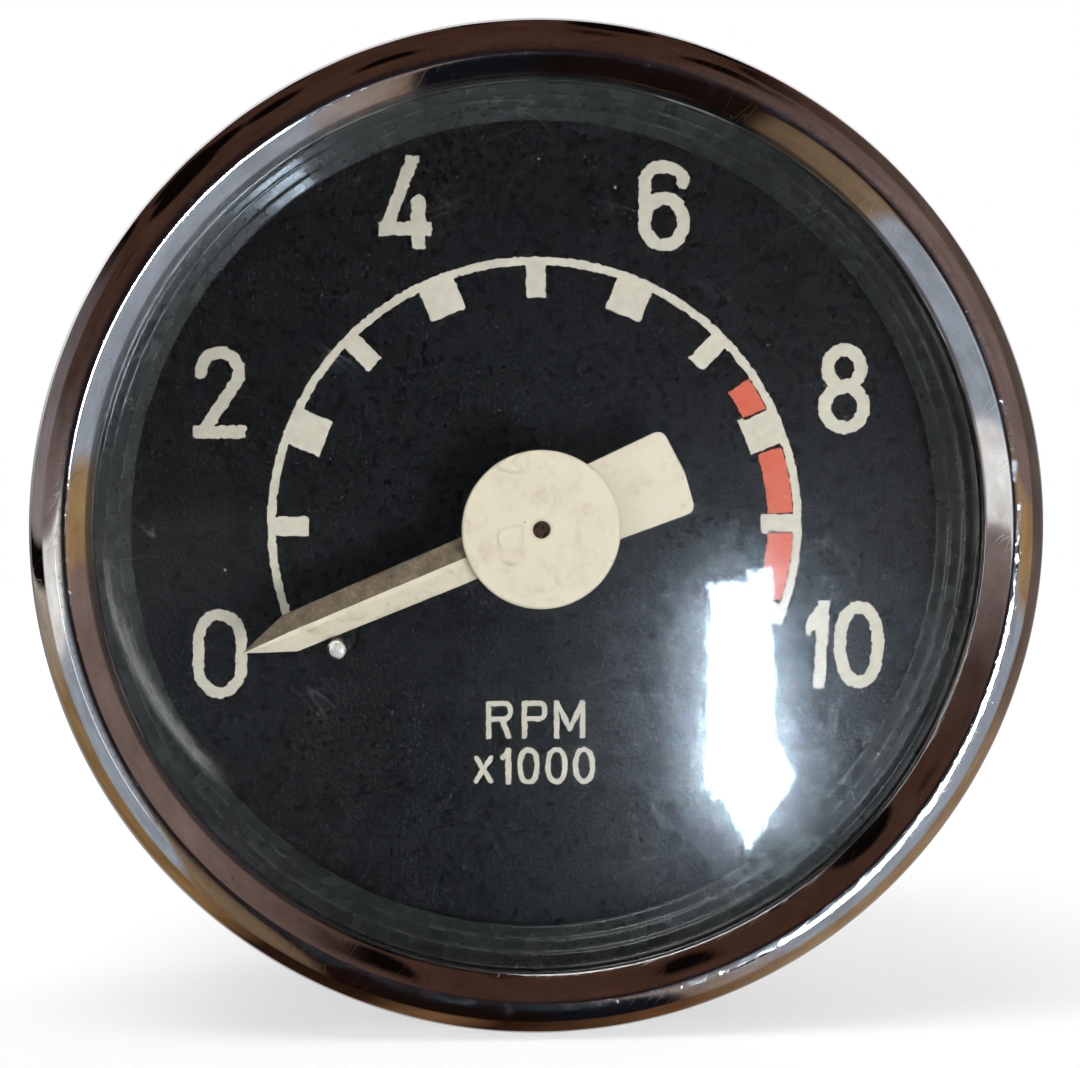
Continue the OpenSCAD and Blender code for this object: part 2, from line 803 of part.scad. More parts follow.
// Aluminium drag cup, open at the back, round the magnet
module drag_cup() {
  color("#c6cacd")
    stand()
      difference() {
        rod(cup_out_r, cup_crown_z - cup_skirt, cup_skirt + cup_t);
        rod(cup_in_r, cup_crown_z - cup_skirt - past, cup_skirt + past);
        rod(spindle_r, cup_crown_z - past, cup_t + 2 * past);
      }
}

module cup_collet() {
  color("#c9a556")
    stand() tube(collet_r, spindle_r, cup_crown_z + cup_t, collet_h);
}

module spring_collet() {
  color("#c9a556")
    stand() tube(collet_r, spindle_r, spring_z - collet_h / 2, collet_h);
}

// Points of a flat spiral offset by half the ribbon's thickness
turn_steps = 32;
stud_touch = 0.02;
spring_r0 = collet_r + spring_t / 2;
spring_r1 = spring_stud_x - spring_stud_r - stud_touch - spring_t / 2;
spring_steps = round(spring_turns * turn_steps);
function spiral(side) = [
  for (i = [0 : spring_steps])
    let (r = spring_r0 + (spring_r1 - spring_r0) * i / spring_steps + side * spring_t / 2)
      let (a = 360 * spring_turns * (i / spring_steps - 1))
        [r * cos(a), r * sin(a)]
];
function turned(p) = [for (i = [len(p) - 1 : -1 : 0]) p[i]];

module hairspring() {
  color("#4b5f86")
    stand()
      translate([0, 0, spring_z - spring_h / 2])
        linear_extrude(spring_h) polygon(concat(spiral(1), turned(spiral(-1))));
}

// Bent steel pin, fixed in the bridge, that stops the pointer at zero
module stop_pin() {
  color("#c3c4c2")
    stand() leaning_pin(pin_r);
}

module dial_posts() {
  color("#c0a25c")
    stand()
      at_posts()
        difference() {
          rod(post_r, bridge_z, post_len);
          rod(dial_screw_r, bridge_z - past, post_len - post_floor + past);
        }
}

module dial_screws() {
  shank_len = bridge_t + post_len - post_floor - thread_spare;
  color("#9fa3a8")
    stand()
      at_posts()
        translate([0, 0, bridge_back_z])
          mirror([0, 0, 1])
            screw(dial_screw_r, shank_len, dial_head_r, dial_head_h);
}

// Dial plate with its centre hole and the oversize hole for the stop pin
module dial() {
  color("#141516")
    stand()
      difference() {
        rod(dial_r, dial_back_z, dial_t);
        rod(dial_hole_r, dial_back_z - past, dial_t + 2 * past);
        rotate([0, 0, pin_angle])
          translate([pin_hole_x, 0, 0])
            rod(pin_hole_r, dial_back_z - past, dial_t + 2 * past);
      }
}

// The ink has a thickness; each stroke is raised by it and the strokes are joined
module ink() {
  linear_extrude(ink_t) children();
}

// Flat strokes for the print: a straight bar and a part of an elliptical ring
module bar(p, q, w) {
  d = q - p;
  translate(p)
    rotate([0, 0, atan2(d[1], d[0])])
      translate([0, -w / 2]) square([norm(d), w]);
}

module ring_part(c, rx, ry, w, a0, a1) {
  polygon(concat(arc(c, rx, ry, a0, a1), arc(c, rx - w, ry - w, a1, a0)));
}

module oval(c, rx, ry) {
  polygon([
    for (i = [0 : 2 * arc_steps - 1])
      let (a = i * 180 / arc_steps)
        c + [rx * cos(a), ry * sin(a)]
  ]);
}

module ring(c, rx, ry, w) {
  difference() {
    oval(c, rx, ry);
    oval(c, rx - w, ry - w);
  }
}

// Figures, each in a box from 0 to w and from 0 to h, with stroke s
module figure_0(w, h, s) {
  ry = h * 0.34;
  ink() ring_part([w / 2, h - ry], w / 2, ry, s, 0, 180);
  ink() ring_part([w / 2, ry], w / 2, ry, s, 180, 360);
  for (x = [0, w - s]) translate([x, ry - 0.01]) ink() square([s, h - 2 * ry + 0.02]);
}

module figure_1(w, h, s) {
  translate([w - s, 0]) ink() square([s, h]);
  ink() polygon([[w, h], [w - s * 0.6, h], [0, h * 0.8], [0, h * 0.66], [w - s, h * 0.72]]);
}

module figure_2(w, h, s) {
  r = w * 0.49;
  c = [w * 0.5, h - r];
  end_angle = -35;
  turn_out = [cos(end_angle), sin(end_angle)];
  ink() ring_part(c, r, r, s, end_angle, 180);
  ink() polygon([c + r * turn_out, [w * 0.42, s], [0, s * 0.9], c + (r - s) * turn_out]);
  ink() square([w, s]);
}

module figure_4(w, h, s) {
  ink() bar([w * 0.63, h], [w * 0.16, h * 0.22], s);
  translate([0, h * 0.15]) ink() square([w, s]);
  translate([w * 0.6, 0]) ink() square([s, h * 0.53]);
}

module figure_6(w, h, s) {
  ry = h * 0.325;
  top = h * 0.3;
  end_angle = 25;
  ink() ring([w / 2, ry], w / 2, ry, s);
  ink() ring_part([w / 2, h - top], w / 2, top, s, end_angle, 180);
  translate([0, ry]) ink() square([s, h - top - ry + 0.01]);
}

module figure_8(w, h, s) {
  low = h * 0.305;
  up = (h - 2 * low + s) / 2;
  ink() ring([w / 2, low], w / 2, low, s);
  ink() ring([w / 2, h - up], w * 0.44, up, s);
}

module figure_10(w, h, s) {
  one_w = w * 0.46;
  gap = w * 0.08;
  translate([-(one_w + gap) / 2, 0]) figure_1(one_w, h, s);
  translate([(one_w + gap) / 2, 0]) figure_0(w, h, s);
}

// Capital letters of the unit line
module letter_p(w, h, s) {
  bowl = h * 0.54;
  ink() square([s, h]);
  for (y = [h - s, h - bowl]) translate([0, y]) ink() square([w - bowl / 2, s]);
  ink() ring_part([w - bowl / 2, h - bowl / 2], bowl / 2, bowl / 2, s, -90, 90);
}

module letter_r(w, h, s) {
  letter_p(w, h, s);
  ink() polygon([[w * 0.42, h * 0.5], [w * 0.68, h * 0.5], [w, 0], [w - s * 1.15, 0]]);
}

module letter_m(w, h, s) {
  ink() square([s, h]);
  translate([w - s, 0]) ink() square([s, h]);
  ink() polygon([[0, h], [s, h], [w / 2 + s * 0.3, h * 0.12], [w / 2 - s * 0.3, h * 0.12]]);
  ink() polygon([[w - s, h], [w, h], [w / 2 + s * 0.3, h * 0.12], [w / 2 - s * 0.3, h * 0.12]]);
}

module letter_x(w, h, s) {
  for (f = [[[0, 0], [w, h]], [[0, h], [w, 0]]]) {
    ink()
      intersection() {
        bar(f[0] * 1.3 - f[1] * 0.3, f[1] * 1.3 - f[0] * 0.3, s);
        square([w, h]);
      }
  }
}

// The two unit lines, centred on the dial's vertical
module unit_lines() {
  h = unit_h;
  s = unit_stroke;
  upper_w = h * 2.66;
  translate([-upper_w / 2, -unit_y1 - h / 2]) {
    letter_r(h * 0.72, h, s);
    translate([h * 0.92, 0]) letter_p(h * 0.7, h, s);
    translate([upper_w - h * 0.84, 0]) letter_m(h * 0.84, h, s);
  }
  lower_w = h * 3.2;
  translate([-lower_w / 2, -unit_y2 - h / 2]) {
    letter_x(h * 0.52, h * 0.7, s);
    translate([h * 0.72, 0]) figure_1(h * 0.26, h, s);
    for (i = [0 : 2]) translate([h * (1.16 + 0.73 * i), 0]) figure_0(h * 0.58, h, s);
  }
}

function mark_angle(v) = zero_angle - v * thousand_angle;

module arc_band(r, w, a0, a1) {
  n = 48;
  outer = [for (i = [0 : n]) let (a = a0 + (a1 - a0) * i / n) [r * cos(a), r * sin(a)]];
  inner = [for (p = outer) p * (r - w) / r];
  polygon(concat(outer, turned(inner)));
}

// Cream print: the arc, a mark for each thousand, even figures and the unit lines
module scale_print() {
  mark_half = asin(mark_wide / 2 / arc_r);
  color("#d8d3bd")
    stand()
      translate([0, 0, dial_z]) {
        union() {
          ink() arc_band(arc_r, arc_w, mark_angle(0) + mark_half, mark_angle(scale_max) - mark_half);
          for (v = [0 : scale_max])
            rotate([0, 0, mark_angle(v)])
              translate([mark_in_r, v % 2 == 0 ? -mark_wide / 2 : -mark_thin / 2])
                ink() square([arc_r - mark_in_r - arc_w / 2, v % 2 == 0 ? mark_wide : mark_thin]);
        }
        for (v = [0 : 2 : scale_max])
          translate(figure_circle_r * [cos(mark_angle(v)), sin(mark_angle(v))])
            translate([-figure_w / 2, -figure_h / 2])
              figure(v);
        unit_lines();
      }
}

// The figure for an even number of thousands
module figure(v) {
  w = figure_w;
  h = figure_h;
  s = figure_stroke;
  if (v == 0) figure_0(w, h, s);
  if (v == 2) figure_2(w, h, s);
  if (v == 4) figure_4(w, h, s);
  if (v == 6) figure_6(w, h, s);
  if (v == 8) figure_8(w, h, s);
  if (v >= 10) figure_10(w, h, s);
}

// Orange-red blocks between the marks, from the start of the red zone to the end
module red_zone_print() {
  red_r = arc_r - arc_w - red_gap;
  color("#d2542c")
    stand()
      translate([0, 0, dial_z])
        ink() difference() {
          arc_band(red_r, red_r - red_in_r, mark_angle(red_number), mark_angle(scale_max));
          for (v = [ceil(red_number) : scale_max])
            rotate([0, 0, mark_angle(v)])
              translate([red_in_r - past, v % 2 == 0 ? -mark_wide / 2 : -mark_thin / 2])
                square([red_r, v % 2 == 0 ? mark_wide : mark_thin]);
        }
}

// Brass bush pressed on the spindle under the pointer
module pointer_bush() {
  color("#b8934a")
    stand() {
      difference() {
        union() {
          rod(point_bush_r, bush_low_z, blade_top_z - bush_low_z);
          rod(bush_flange_r, pointer_z - bush_flange_t, bush_flange_t);
        }
        rod(spindle_r, bush_low_z - past, blade_top_z - bush_low_z + 2 * past);
      }
    }
}

// Outline of blade and tail, pointing along +X
module pointer_outline() {
  polygon([
    [0, -blade_w0 / 2], [cap_r, -blade_w0 / 2], [blade_len, -blade_w1 / 2],
    [tip_r, 0], [blade_len, blade_w1 / 2], [cap_r, blade_w0 / 2], [0, blade_w0 / 2]
  ]);
  circle(r = cap_r * 0.7, $fn = round_fn);
  c = tail_corner_r;
  polygon(concat(
    [[0, tail_w0 / 2], [0, -tail_w0 / 2]],
    turned(arc([-tail_r + c, -tail_w1 / 2 + c], c, c, 180, 270)),
    turned(arc([-tail_r + c, tail_w1 / 2 - c], c, c, 90, 180))
  ));
}

// Sheet pointer with a roof-shaped ridge along its blade, and a broad tail
module pointer_blade() {
  half = blade_w0 / 2;
  low = blade_t * 0.6;
  color("#d9d2ba")
    stand()
      translate([0, 0, pointer_z])
        rotate([0, 0, zero_angle])
          difference() {
            union() {
              linear_extrude(low) pointer_outline();
              translate([0, 0, low])
                linear_extrude(blade_t - low)
                  intersection() {
                    pointer_outline();
                    translate([-tail_r - past, -tail_w1])
                      square([tail_r + past + cap_r * 0.6, 2 * tail_w1]);
                  }
              intersection() {
                translate([cap_r * 0.6, 0, 0])
                  rotate([90, 0, 90])
                    linear_extrude(tip_r)
                      polygon([
                        [-half, 0], [half, 0], [half, low],
                        [0, blade_t + ridge_h], [-half, low]
                      ]);
                linear_extrude(blade_t + ridge_h) pointer_outline();
              }
            }
            rod(point_bush_r, -past, blade_t + ridge_h + 2 * past);
          }
}

// Round cap over the hub, with a hole that shows the spindle's end
module pointer_cap() {
  edge = 0.25;
  color("#d9d2ba")
    stand()
      rotate_extrude($fn = round_fn)
        polygon(concat(
          [[spindle_r, blade_top_z], [cap_r, blade_top_z]],
          arc([cap_r - edge, cap_top_z - edge], edge, edge, 0, 90),
          [[spindle_r, cap_top_z]]
        ));
}

// Stepped black ring between the dial and the lens, clamped by its flange
module trim_ring() {
  top_z = trim_z + trim_t;
  low_z = dial_z + trim_gap;
  run = (trim_land_r - trim_in_r) / trim_steps;
  drop = (top_z - trim_t - low_z) / trim_steps;
  back_r = case_r - case_wall - trim_back_gap;
  color("#1b1f1d")
    stand()
      rotate_extrude($fn = round_fn)
        polygon(concat(
          [[back_r, trim_z], [trim_flange_r, trim_z], [trim_flange_r, top_z], [trim_land_r, top_z]],
          [for (i = [0 : trim_steps - 1]) each [
            [trim_land_r - i * run, top_z - (i + 0.6) * drop],
            [trim_land_r - (i + 1) * run, top_z - (i + 1) * drop]
          ]],
          [[trim_in_r, low_z], [trim_in_r + trim_t, low_z]]
        ));
}

module lens_gasket() {
  color("#1c1c1c")
    stand() tube(trim_flange_r, trim_flange_r - gasket_w, gasket_z, gasket_t);
}

// Domed glass with a flat flange
module lens() {
  color("#cfd8d6", 0.35)
    stand()
      difference() {
        union() {
          rod(lens_r, lens_z, lens_flange_t);
          intersection() {
            translate([0, 0, dome_centre_z]) sphere(r = dome_sphere_r, $fn = 240);
            rod(dome_r, lens_z, lens_flange_t + dome_rise + past);
          }
        }
        intersection() {
          translate([0, 0, dome_centre_z]) sphere(r = dome_sphere_r - dome_t, $fn = 240);
          rod(dome_r, lens_z - past, lens_flange_t + dome_rise + past);
        }
      }
}

// Chrome ring: inner lip, rolled crest, rounded shoulder, skirt and crimped edge
module bezel() {
  t = bezel_t;
  crest = [crest_r, crest_z - crest_roll_r];
  shoulder = [crest_r, shoulder_z];
  corner = [bezel_in_r, crimp_z];
  roll_from = 120;
  shoulder_w = bezel_r - crest_r;
  color("#c9ccce")
    stand()
      rotate_extrude($fn = round_fn)
        polygon(concat(
          [[lip_r, lens_top_z], [lip_r, lip_z]],
          arc(crest, crest_roll_r, crest_roll_r, roll_from, 90),
          arc(shoulder, shoulder_w, shoulder_h, 90, 0),
          arc(corner, t, t, 0, -90),
          [[case_r + crimp_gap, crimp_z - t], [case_r + crimp_gap, crimp_z]],
          [[bezel_in_r, crimp_z]],
          arc(shoulder, shoulder_w - t, shoulder_h - t, 0, 90),
          [[lip_r + t, lip_z], [lip_r + t, lens_top_z]]
        ));
}

// Rubber grommet in the case back, a lip on each side of the sheet
module lamp_grommet() {
  bore = lamp_r + lamp_gap;
  color("#171717")
    stand()
      at_lamp() {
        difference() {
          union() {
            rod(grommet_r, -grommet_lip, grommet_lip);
            rod(lamp_hole_r, 0, case_wall);
            rod(grommet_r, case_wall, grommet_lip);
          }
          rod(bore, -grommet_lip - past, 2 * grommet_lip + case_wall + 2 * past);
        }
      }
}

// Plated tube that holds the bulb, with a bead that seats on the grommet
module lamp_holder() {
  color("#b3b6b4")
    stand()
      at_lamp()
        difference() {
          union() {
            rod(lamp_r, -lamp_out, lamp_out + lamp_in);
            rod(bead_r, bead_z, bead_t);
          }
          rod(lamp_in_r, -lamp_out - past, lamp_out + lamp_in + 2 * past);
        }
}

module lamp_insulator() {
  color("#6b4a2c")
    stand()
      at_lamp() tube(lamp_in_r, contact_r, -lamp_out, insulator_t);
}

// Centre contact through the insulator, with its spade behind
module lamp_feed_terminal() {
  color("#c2a45a")
    stand()
      at_lamp() {
        rod(contact_r, -lamp_out, lamp_out + contact_z);
        translate([-spade_w / 2, -spade_t / 2, -lamp_out - spade_len])
          cube([spade_w, spade_t, spade_len]);
      }
}

// Earth spade soldered to the side of the tube
module lamp_earth_terminal() {
  bead_gap = 0.3;
  root = lamp_r * 0.84;
  color("#b3b6b4")
    stand()
      at_lamp()
        difference() {
          translate([-spade_w / 2, root, -lamp_out - spade_len])
            cube([spade_w, lamp_r + spade_t - root, spade_len + lamp_out + bead_z - bead_gap]);
          rod(lamp_r, -lamp_out - spade_len - past, lamp_out + spade_len + 2 * past);
        }
}

module bulb_base() {
  color("#c4a760")
    stand()
      at_lamp() {
        rod(lamp_in_r, bulb_base_z, bulb_base_len);
        rod(contact_r, contact_z, contact_len);
      }
}

// Hollow glass envelope, open at the base
module bulb_glass() {
  neck_z = bulb_glass_z;
  ball_z = neck_z + bulb_len - bulb_r;
  inner = bulb_r - bulb_t;
  color("#dfe6e8", 0.4)
    stand()
      at_lamp()
        rotate_extrude($fn = round_fn)
          polygon(concat(
            [[bulb_r, neck_z]],
            arc([0, ball_z], bulb_r, bulb_r, 0, 90),
            arc([0, ball_z], inner, inner, 90, 0),
            [[inner, neck_z]]
          ));
}

// Two support wires and the coiled wire between them
module bulb_filament() {
  reach = bulb_r * 0.4;
  wire_r = 0.2;
  top_z = bulb_glass_z + bulb_len * 0.5;
  color("#8c8c8c")
    stand()
      at_lamp() {
        for (s = [-1, 1])
          translate([s * reach, 0, 0]) rod(wire_r, bulb_glass_z, top_z - bulb_glass_z);
        translate([-reach, 0, top_z - wire_r])
          rotate([0, 90, 0]) cylinder(r = wire_r * 0.8, h = 2 * reach, $fn = 24);
      }
}

case();
mounting_studs();
movement_frame();
frame_screws();
frame_washers();
rear_bush();
oil_felt();
front_bush();
thrust_washer();
drive_shaft();
shaft_clip();
field_cup();
magnet();
pivot_bearing();
frame_pillars();
bridge_plate();
pillar_screws();
upper_bearing();
regulator();
spindle();
drag_cup();
cup_collet();
spring_collet();
hairspring();
stop_pin();
dial_posts();
dial_screws();
dial();
scale_print();
red_zone_print();
pointer_bush();
pointer_blade();
pointer_cap();
trim_ring();
lens_gasket();
lens();
bezel();
lamp_grommet();
lamp_holder();
lamp_insulator();
lamp_feed_terminal();
lamp_earth_terminal();
bulb_base();
bulb_glass();
bulb_filament();
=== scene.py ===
import math
import bmesh
import bpy
import numpy as np
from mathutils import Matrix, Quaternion, Vector, geometry, noise


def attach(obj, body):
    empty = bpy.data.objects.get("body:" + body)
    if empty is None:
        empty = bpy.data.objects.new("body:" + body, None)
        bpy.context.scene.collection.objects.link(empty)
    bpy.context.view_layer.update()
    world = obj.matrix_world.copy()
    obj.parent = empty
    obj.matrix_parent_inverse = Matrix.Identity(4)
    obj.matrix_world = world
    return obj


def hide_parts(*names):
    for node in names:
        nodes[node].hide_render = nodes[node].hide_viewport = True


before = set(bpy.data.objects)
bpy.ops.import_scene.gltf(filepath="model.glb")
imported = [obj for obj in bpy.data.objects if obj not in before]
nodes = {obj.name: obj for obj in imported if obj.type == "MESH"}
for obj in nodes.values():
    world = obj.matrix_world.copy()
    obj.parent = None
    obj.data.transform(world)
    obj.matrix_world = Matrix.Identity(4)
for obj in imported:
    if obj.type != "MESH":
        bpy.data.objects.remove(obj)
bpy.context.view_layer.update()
scene = bpy.context.scene
scene.view_settings.view_transform = "Standard"

# Camera: a hand-held camera in front of the dial, a little to the left of the axis
# and a little above it, as in the photograph.
CAMERA_LEFT = math.radians(4.6)
CAMERA_UP = math.radians(3.8)
CAMERA_AWAY = 0.335
SIGHT = Vector((0, -0.0505, 0))
PICTURE_W = 1080
sight_line = Vector((-math.sin(CAMERA_LEFT) * math.cos(CAMERA_UP),
                     -math.cos(CAMERA_LEFT) * math.cos(CAMERA_UP), math.sin(CAMERA_UP)))
camera_data = bpy.data.cameras.new("camera")
camera_data.sensor_width = 36
camera_data.lens = 132.6
camera_data.shift_x = -2.3 / PICTURE_W
camera_data.shift_y = -3.7 / PICTURE_W
camera_data.clip_start = 0.01
camera = bpy.data.objects.new("camera", camera_data)
camera.location = SIGHT + CAMERA_AWAY * sight_line
camera.rotation_euler = sight_line.to_track_quat("Z", "Y").to_euler()
scene.collection.objects.link(camera)
scene.camera = camera


# Floor: a wide sheet of white card that the bezel's edge stands on. It is matt,
# and shows white with the object's soft shadow.
class Finish:
    """A material's node tree, and short calls for the nodes that a finish is made of."""

    def __init__(self, name, **sockets):
        self.material = bpy.data.materials.new(name)
        self.material.use_nodes = True
        self.nodes = self.material.node_tree.nodes
        self.links = self.material.node_tree.links
        self.shader = self.nodes["Principled BSDF"]
        self.output = self.nodes["Material Output"]
        for socket, value in sockets.items():
            self.give(socket.replace("_", " "), value)

    def give(self, socket, value):
        self.set(self.shader, socket, value)

    def set(self, node, socket, value):
        if isinstance(value, bpy.types.NodeSocket):
            self.links.new(value, node.inputs[socket])
        elif isinstance(value, tuple) and len(value) == 3 and len(node.inputs[socket].default_value) == 4:
            node.inputs[socket].default_value = (*value, 1)
        else:
            node.inputs[socket].default_value = value

    def shine(self, **sockets):
        """Makes the surface give light of its own."""
        light = self.node("ShaderNodeEmission", sockets).outputs[0]
        self.links.new(light, self.output.inputs[0])
        return light

    def node(self, kind, sockets=(), **settings):
        node = self.nodes.new(kind)
        for key, value in settings.items():
            setattr(node, key, value)
        for socket, value in dict(sockets).items():
            self.set(node, socket, value)
        return node

    def place(self, stretch=(1, 1, 1), turn=(0, 0, 0)):
        where = self.node("ShaderNodeTexCoord").outputs["Object"]
        if any(turn):
            where = self.node("ShaderNodeMapping", {"Vector": where, "Rotation": turn}).outputs[0]
        return self.node("ShaderNodeMapping", {"Vector": where, "Scale": stretch}).outputs[0]

    def grain(self, scale, detail=3.0, roughness=0.55, where=None, warp=0.0):
        return self.node("ShaderNodeTexNoise", {
            "Vector": where or self.place(), "Scale": scale, "Detail": detail,
            "Roughness": roughness, "Distortion": warp}).outputs[0]

    def cells(self, scale, where=None):
        node = self.node("ShaderNodeTexVoronoi", {"Vector": where or self.place(), "Scale": scale})
        return node.outputs["Distance"]

    def steps(self, value, *stops):
        ramp = self.node("ShaderNodeValToRGB", {"Fac": value})
        marks = ramp.color_ramp.elements
        while len(marks) < len(stops):
            marks.new(0.5)
        for mark, (at, colour) in zip(marks, stops):
            mark.position = at
            mark.color = (*colour, 1) if isinstance(colour, tuple) else (colour, colour, colour, 1)
        return ramp.outputs[0]

    def reckon(self, operation, a, b=0.0):
        return self.node("ShaderNodeMath", {0: a, 1: b}, operation=operation).outputs[0]

    def plus(self, a, b):
        return self.reckon("ADD", a, b)

    def minus(self, a, b):
        return self.reckon("SUBTRACT", a, b)

    def times(self, a, b):
        return self.reckon("MULTIPLY", a, b)

    def larger(self, a, b):
        return self.reckon("MAXIMUM", a, b)

    def split(self, vector):
        return self.node("ShaderNodeSeparateXYZ", {0: vector}).outputs

    def from_axis(self):
        """Distance from the instrument's axis, in metres."""
        flat = self.node("ShaderNodeVectorMath", {0: self.place(), 1: (1, 0, 1)}, operation="MULTIPLY")
        return self.node("ShaderNodeVectorMath", {0: flat.outputs[0]}, operation="LENGTH").outputs["Value"]

    def mix(self, share, a, b, way="MIX"):
        node = self.node("ShaderNodeMix", data_type="RGBA", blend_type=way)
        for socket, value in ((0, share), (6, a), (7, b)):
            self.set(node, socket, value)
        return node.outputs[2]

    def relief(self, height, depth, strength=1.0, under=None):
        node = self.node("ShaderNodeBump", {"Height": height, "Distance": depth, "Strength": strength})
        if under:
            self.links.new(under, node.inputs["Normal"])
        return node.outputs[0]

    def seen(self, *rays):
        path = self.node("ShaderNodeLightPath")
        found = path.outputs[rays[0]]
        for ray in rays[1:]:
            found = self.larger(found, path.outputs[ray])
        return found

    def indirect(self):
        """1 for light that has met a matt or mirroring surface and then gone through glass, otherwise 0."""
        path = self.node("ShaderNodeLightPath").outputs
        met = self.reckon("GREATER_THAN", self.plus(path["Diffuse Depth"], path["Glossy Depth"]), 0.5)
        return self.times(met, path["Is Transmission Ray"])

    def straight(self):
        """1 for a look straight through glass, otherwise 0."""
        path = self.node("ShaderNodeLightPath").outputs
        first = self.reckon("LESS_THAN", self.plus(path["Diffuse Depth"], path["Glossy Depth"]), 0.5)
        return self.times(first, path["Is Transmission Ray"])

    def show(self, share, shader, other):
        """Mixes two shaders by a share, and makes the result the material's surface."""
        both = self.node("ShaderNodeMixShader", {0: share, 1: shader, 2: other}).outputs[0]
        self.links.new(both, self.output.inputs[0])
        return both

    def on(self, *pieces):
        for piece in pieces:
            piece.data.materials.clear()
            piece.data.materials.append(self.material)


def stand(name, shape):
    """Makes an object from its finished mesh, and stands it in the scene."""
    mesh = bpy.data.meshes.new(name)
    shape.to_mesh(mesh)
    shape.free()
    made = bpy.data.objects.new(name, mesh)
    scene.collection.objects.link(made)
    return made


FLOOR_Z = -0.0432
FLOOR_R = 6.0
BACKGROUND_RAYS = ("Is Camera Ray", "Is Glossy Ray", "Is Transmission Ray")
shape = bmesh.new()
bmesh.ops.create_grid(shape, x_segments=24, y_segments=24, size=FLOOR_R)
bmesh.ops.translate(shape, verts=shape.verts, vec=(0, 0, FLOOR_Z))
floor = stand("floor", shape)
card = Finish("white_card", Roughness=0.9)
card.give("Base Color", card.steps(card.grain(18.0), (0.3, (0.86, 0.86, 0.86)), (0.7, (0.9, 0.9, 0.9))))
glow = card.node("ShaderNodeEmission", {"Color": (1, 1, 1), "Strength": 1.0}).outputs[0]
away = card.node("ShaderNodeVectorMath", {0: card.place()}, operation="LENGTH").outputs["Value"]
whiter = card.steps(away, (0.10, 0.62), (0.45, 1.0))
white_card = card.show(card.times(card.seen(*BACKGROUND_RAYS), whiter), card.shader.outputs[0], glow)
card.show(card.indirect(), white_card, card.node("ShaderNodeBsdfTransparent").outputs[0])
card.on(floor)
floor.visible_shadow = False
floor.visible_glossy = False

# Light: a white surround, soft boxes in front, above, on the left and behind, and a window
# low in front on the right, which only mirroring surfaces see. Its image lies in the glass.
SURROUND_DIM, SURROUND_SEEN = 0.5, 1.0
world = bpy.data.worlds.new("surround")
scene.world = world
world.use_nodes = True
surround = world.node_tree
path = surround.nodes.new("ShaderNodeLightPath")
seen = path.outputs[BACKGROUND_RAYS[0]]
for ray in BACKGROUND_RAYS[1:]:
    either = surround.nodes.new("ShaderNodeMath")
    either.operation = "MAXIMUM"
    surround.links.new(seen, either.inputs[0])
    surround.links.new(path.outputs[ray], either.inputs[1])
    seen = either.outputs[0]
level = surround.nodes.new("ShaderNodeMapRange")
level.inputs["To Min"].default_value = SURROUND_DIM
level.inputs["To Max"].default_value = SURROUND_SEEN
surround.links.new(seen, level.inputs["Value"])
background = surround.nodes["Background"]
background.inputs["Color"].default_value = (1, 1, 1, 1)
surround.links.new(level.outputs[0], background.inputs["Strength"])


def soft_box(name, centre, width, height, watts):
    data = bpy.data.lights.new(name, "AREA")
    data.shape = "RECTANGLE"
    data.size, data.size_y, data.energy = width, height, watts
    lamp = bpy.data.objects.new(name, data)
    lamp.location = centre
    lamp.rotation_euler = (Vector(centre) - SIGHT).to_track_quat("Z", "Y").to_euler()
    lamp.visible_camera = lamp.visible_glossy = False
    scene.collection.objects.link(lamp)


soft_box("box_front", (0.41, -0.96, -0.33), 0.16, 0.36, 6.0)
soft_box("box_above", (-0.25, -0.35, 0.85), 0.7, 0.5, 6.5)
soft_box("box_left", (-0.80, -0.50, 0.25), 0.25, 0.7, 3.2)
soft_box("box_behind", (0.45, 0.85, 0.50), 0.8, 0.6, 7.0)

WINDOW_PLACE = Vector((0.41, -0.935, -0.36))
WINDOW_TURN = math.radians(5.5)
WINDOW_HALF_W, WINDOW_HALF_H = 0.10, 0.30
# Each pane: its middle across and up, its half width and its half height
PANES = ((-0.027, 0.043, 0.021, 0.160), (0.027, 0.072, 0.004, 0.146), (0.002, -0.045, 0.030, 0.085))
LOW_PANE_X, LOW_PANE_Y, LOW_PANE_HALF_W, LOW_PANE_HALF_H = 0.021, -0.120, 0.053, 0.092
SKY_BLUE = (0.66, 0.82, 1.0)
SKY_LIGHT, SKY_LIGHT_THROUGH_GLASS = 350.0, 100.0
shape = bmesh.new()
bmesh.ops.create_grid(shape, x_segments=4, y_segments=8, size=1.0)
bmesh.ops.scale(shape, verts=shape.verts, vec=(WINDOW_HALF_W, WINDOW_HALF_H, 1.0))
window = stand("window", shape)
window.location = WINDOW_PLACE
window.rotation_euler = ((WINDOW_PLACE - SIGHT).to_track_quat("Z", "Y")
                         @ Quaternion((0, 0, 1), WINDOW_TURN)).to_euler()
daylight = Finish("daylight")
on_card = daylight.split(daylight.place())


def from_line(side, middle):
    """Distance from a line across or up the card."""
    return daylight.reckon("ABSOLUTE", daylight.minus(on_card[side], middle))


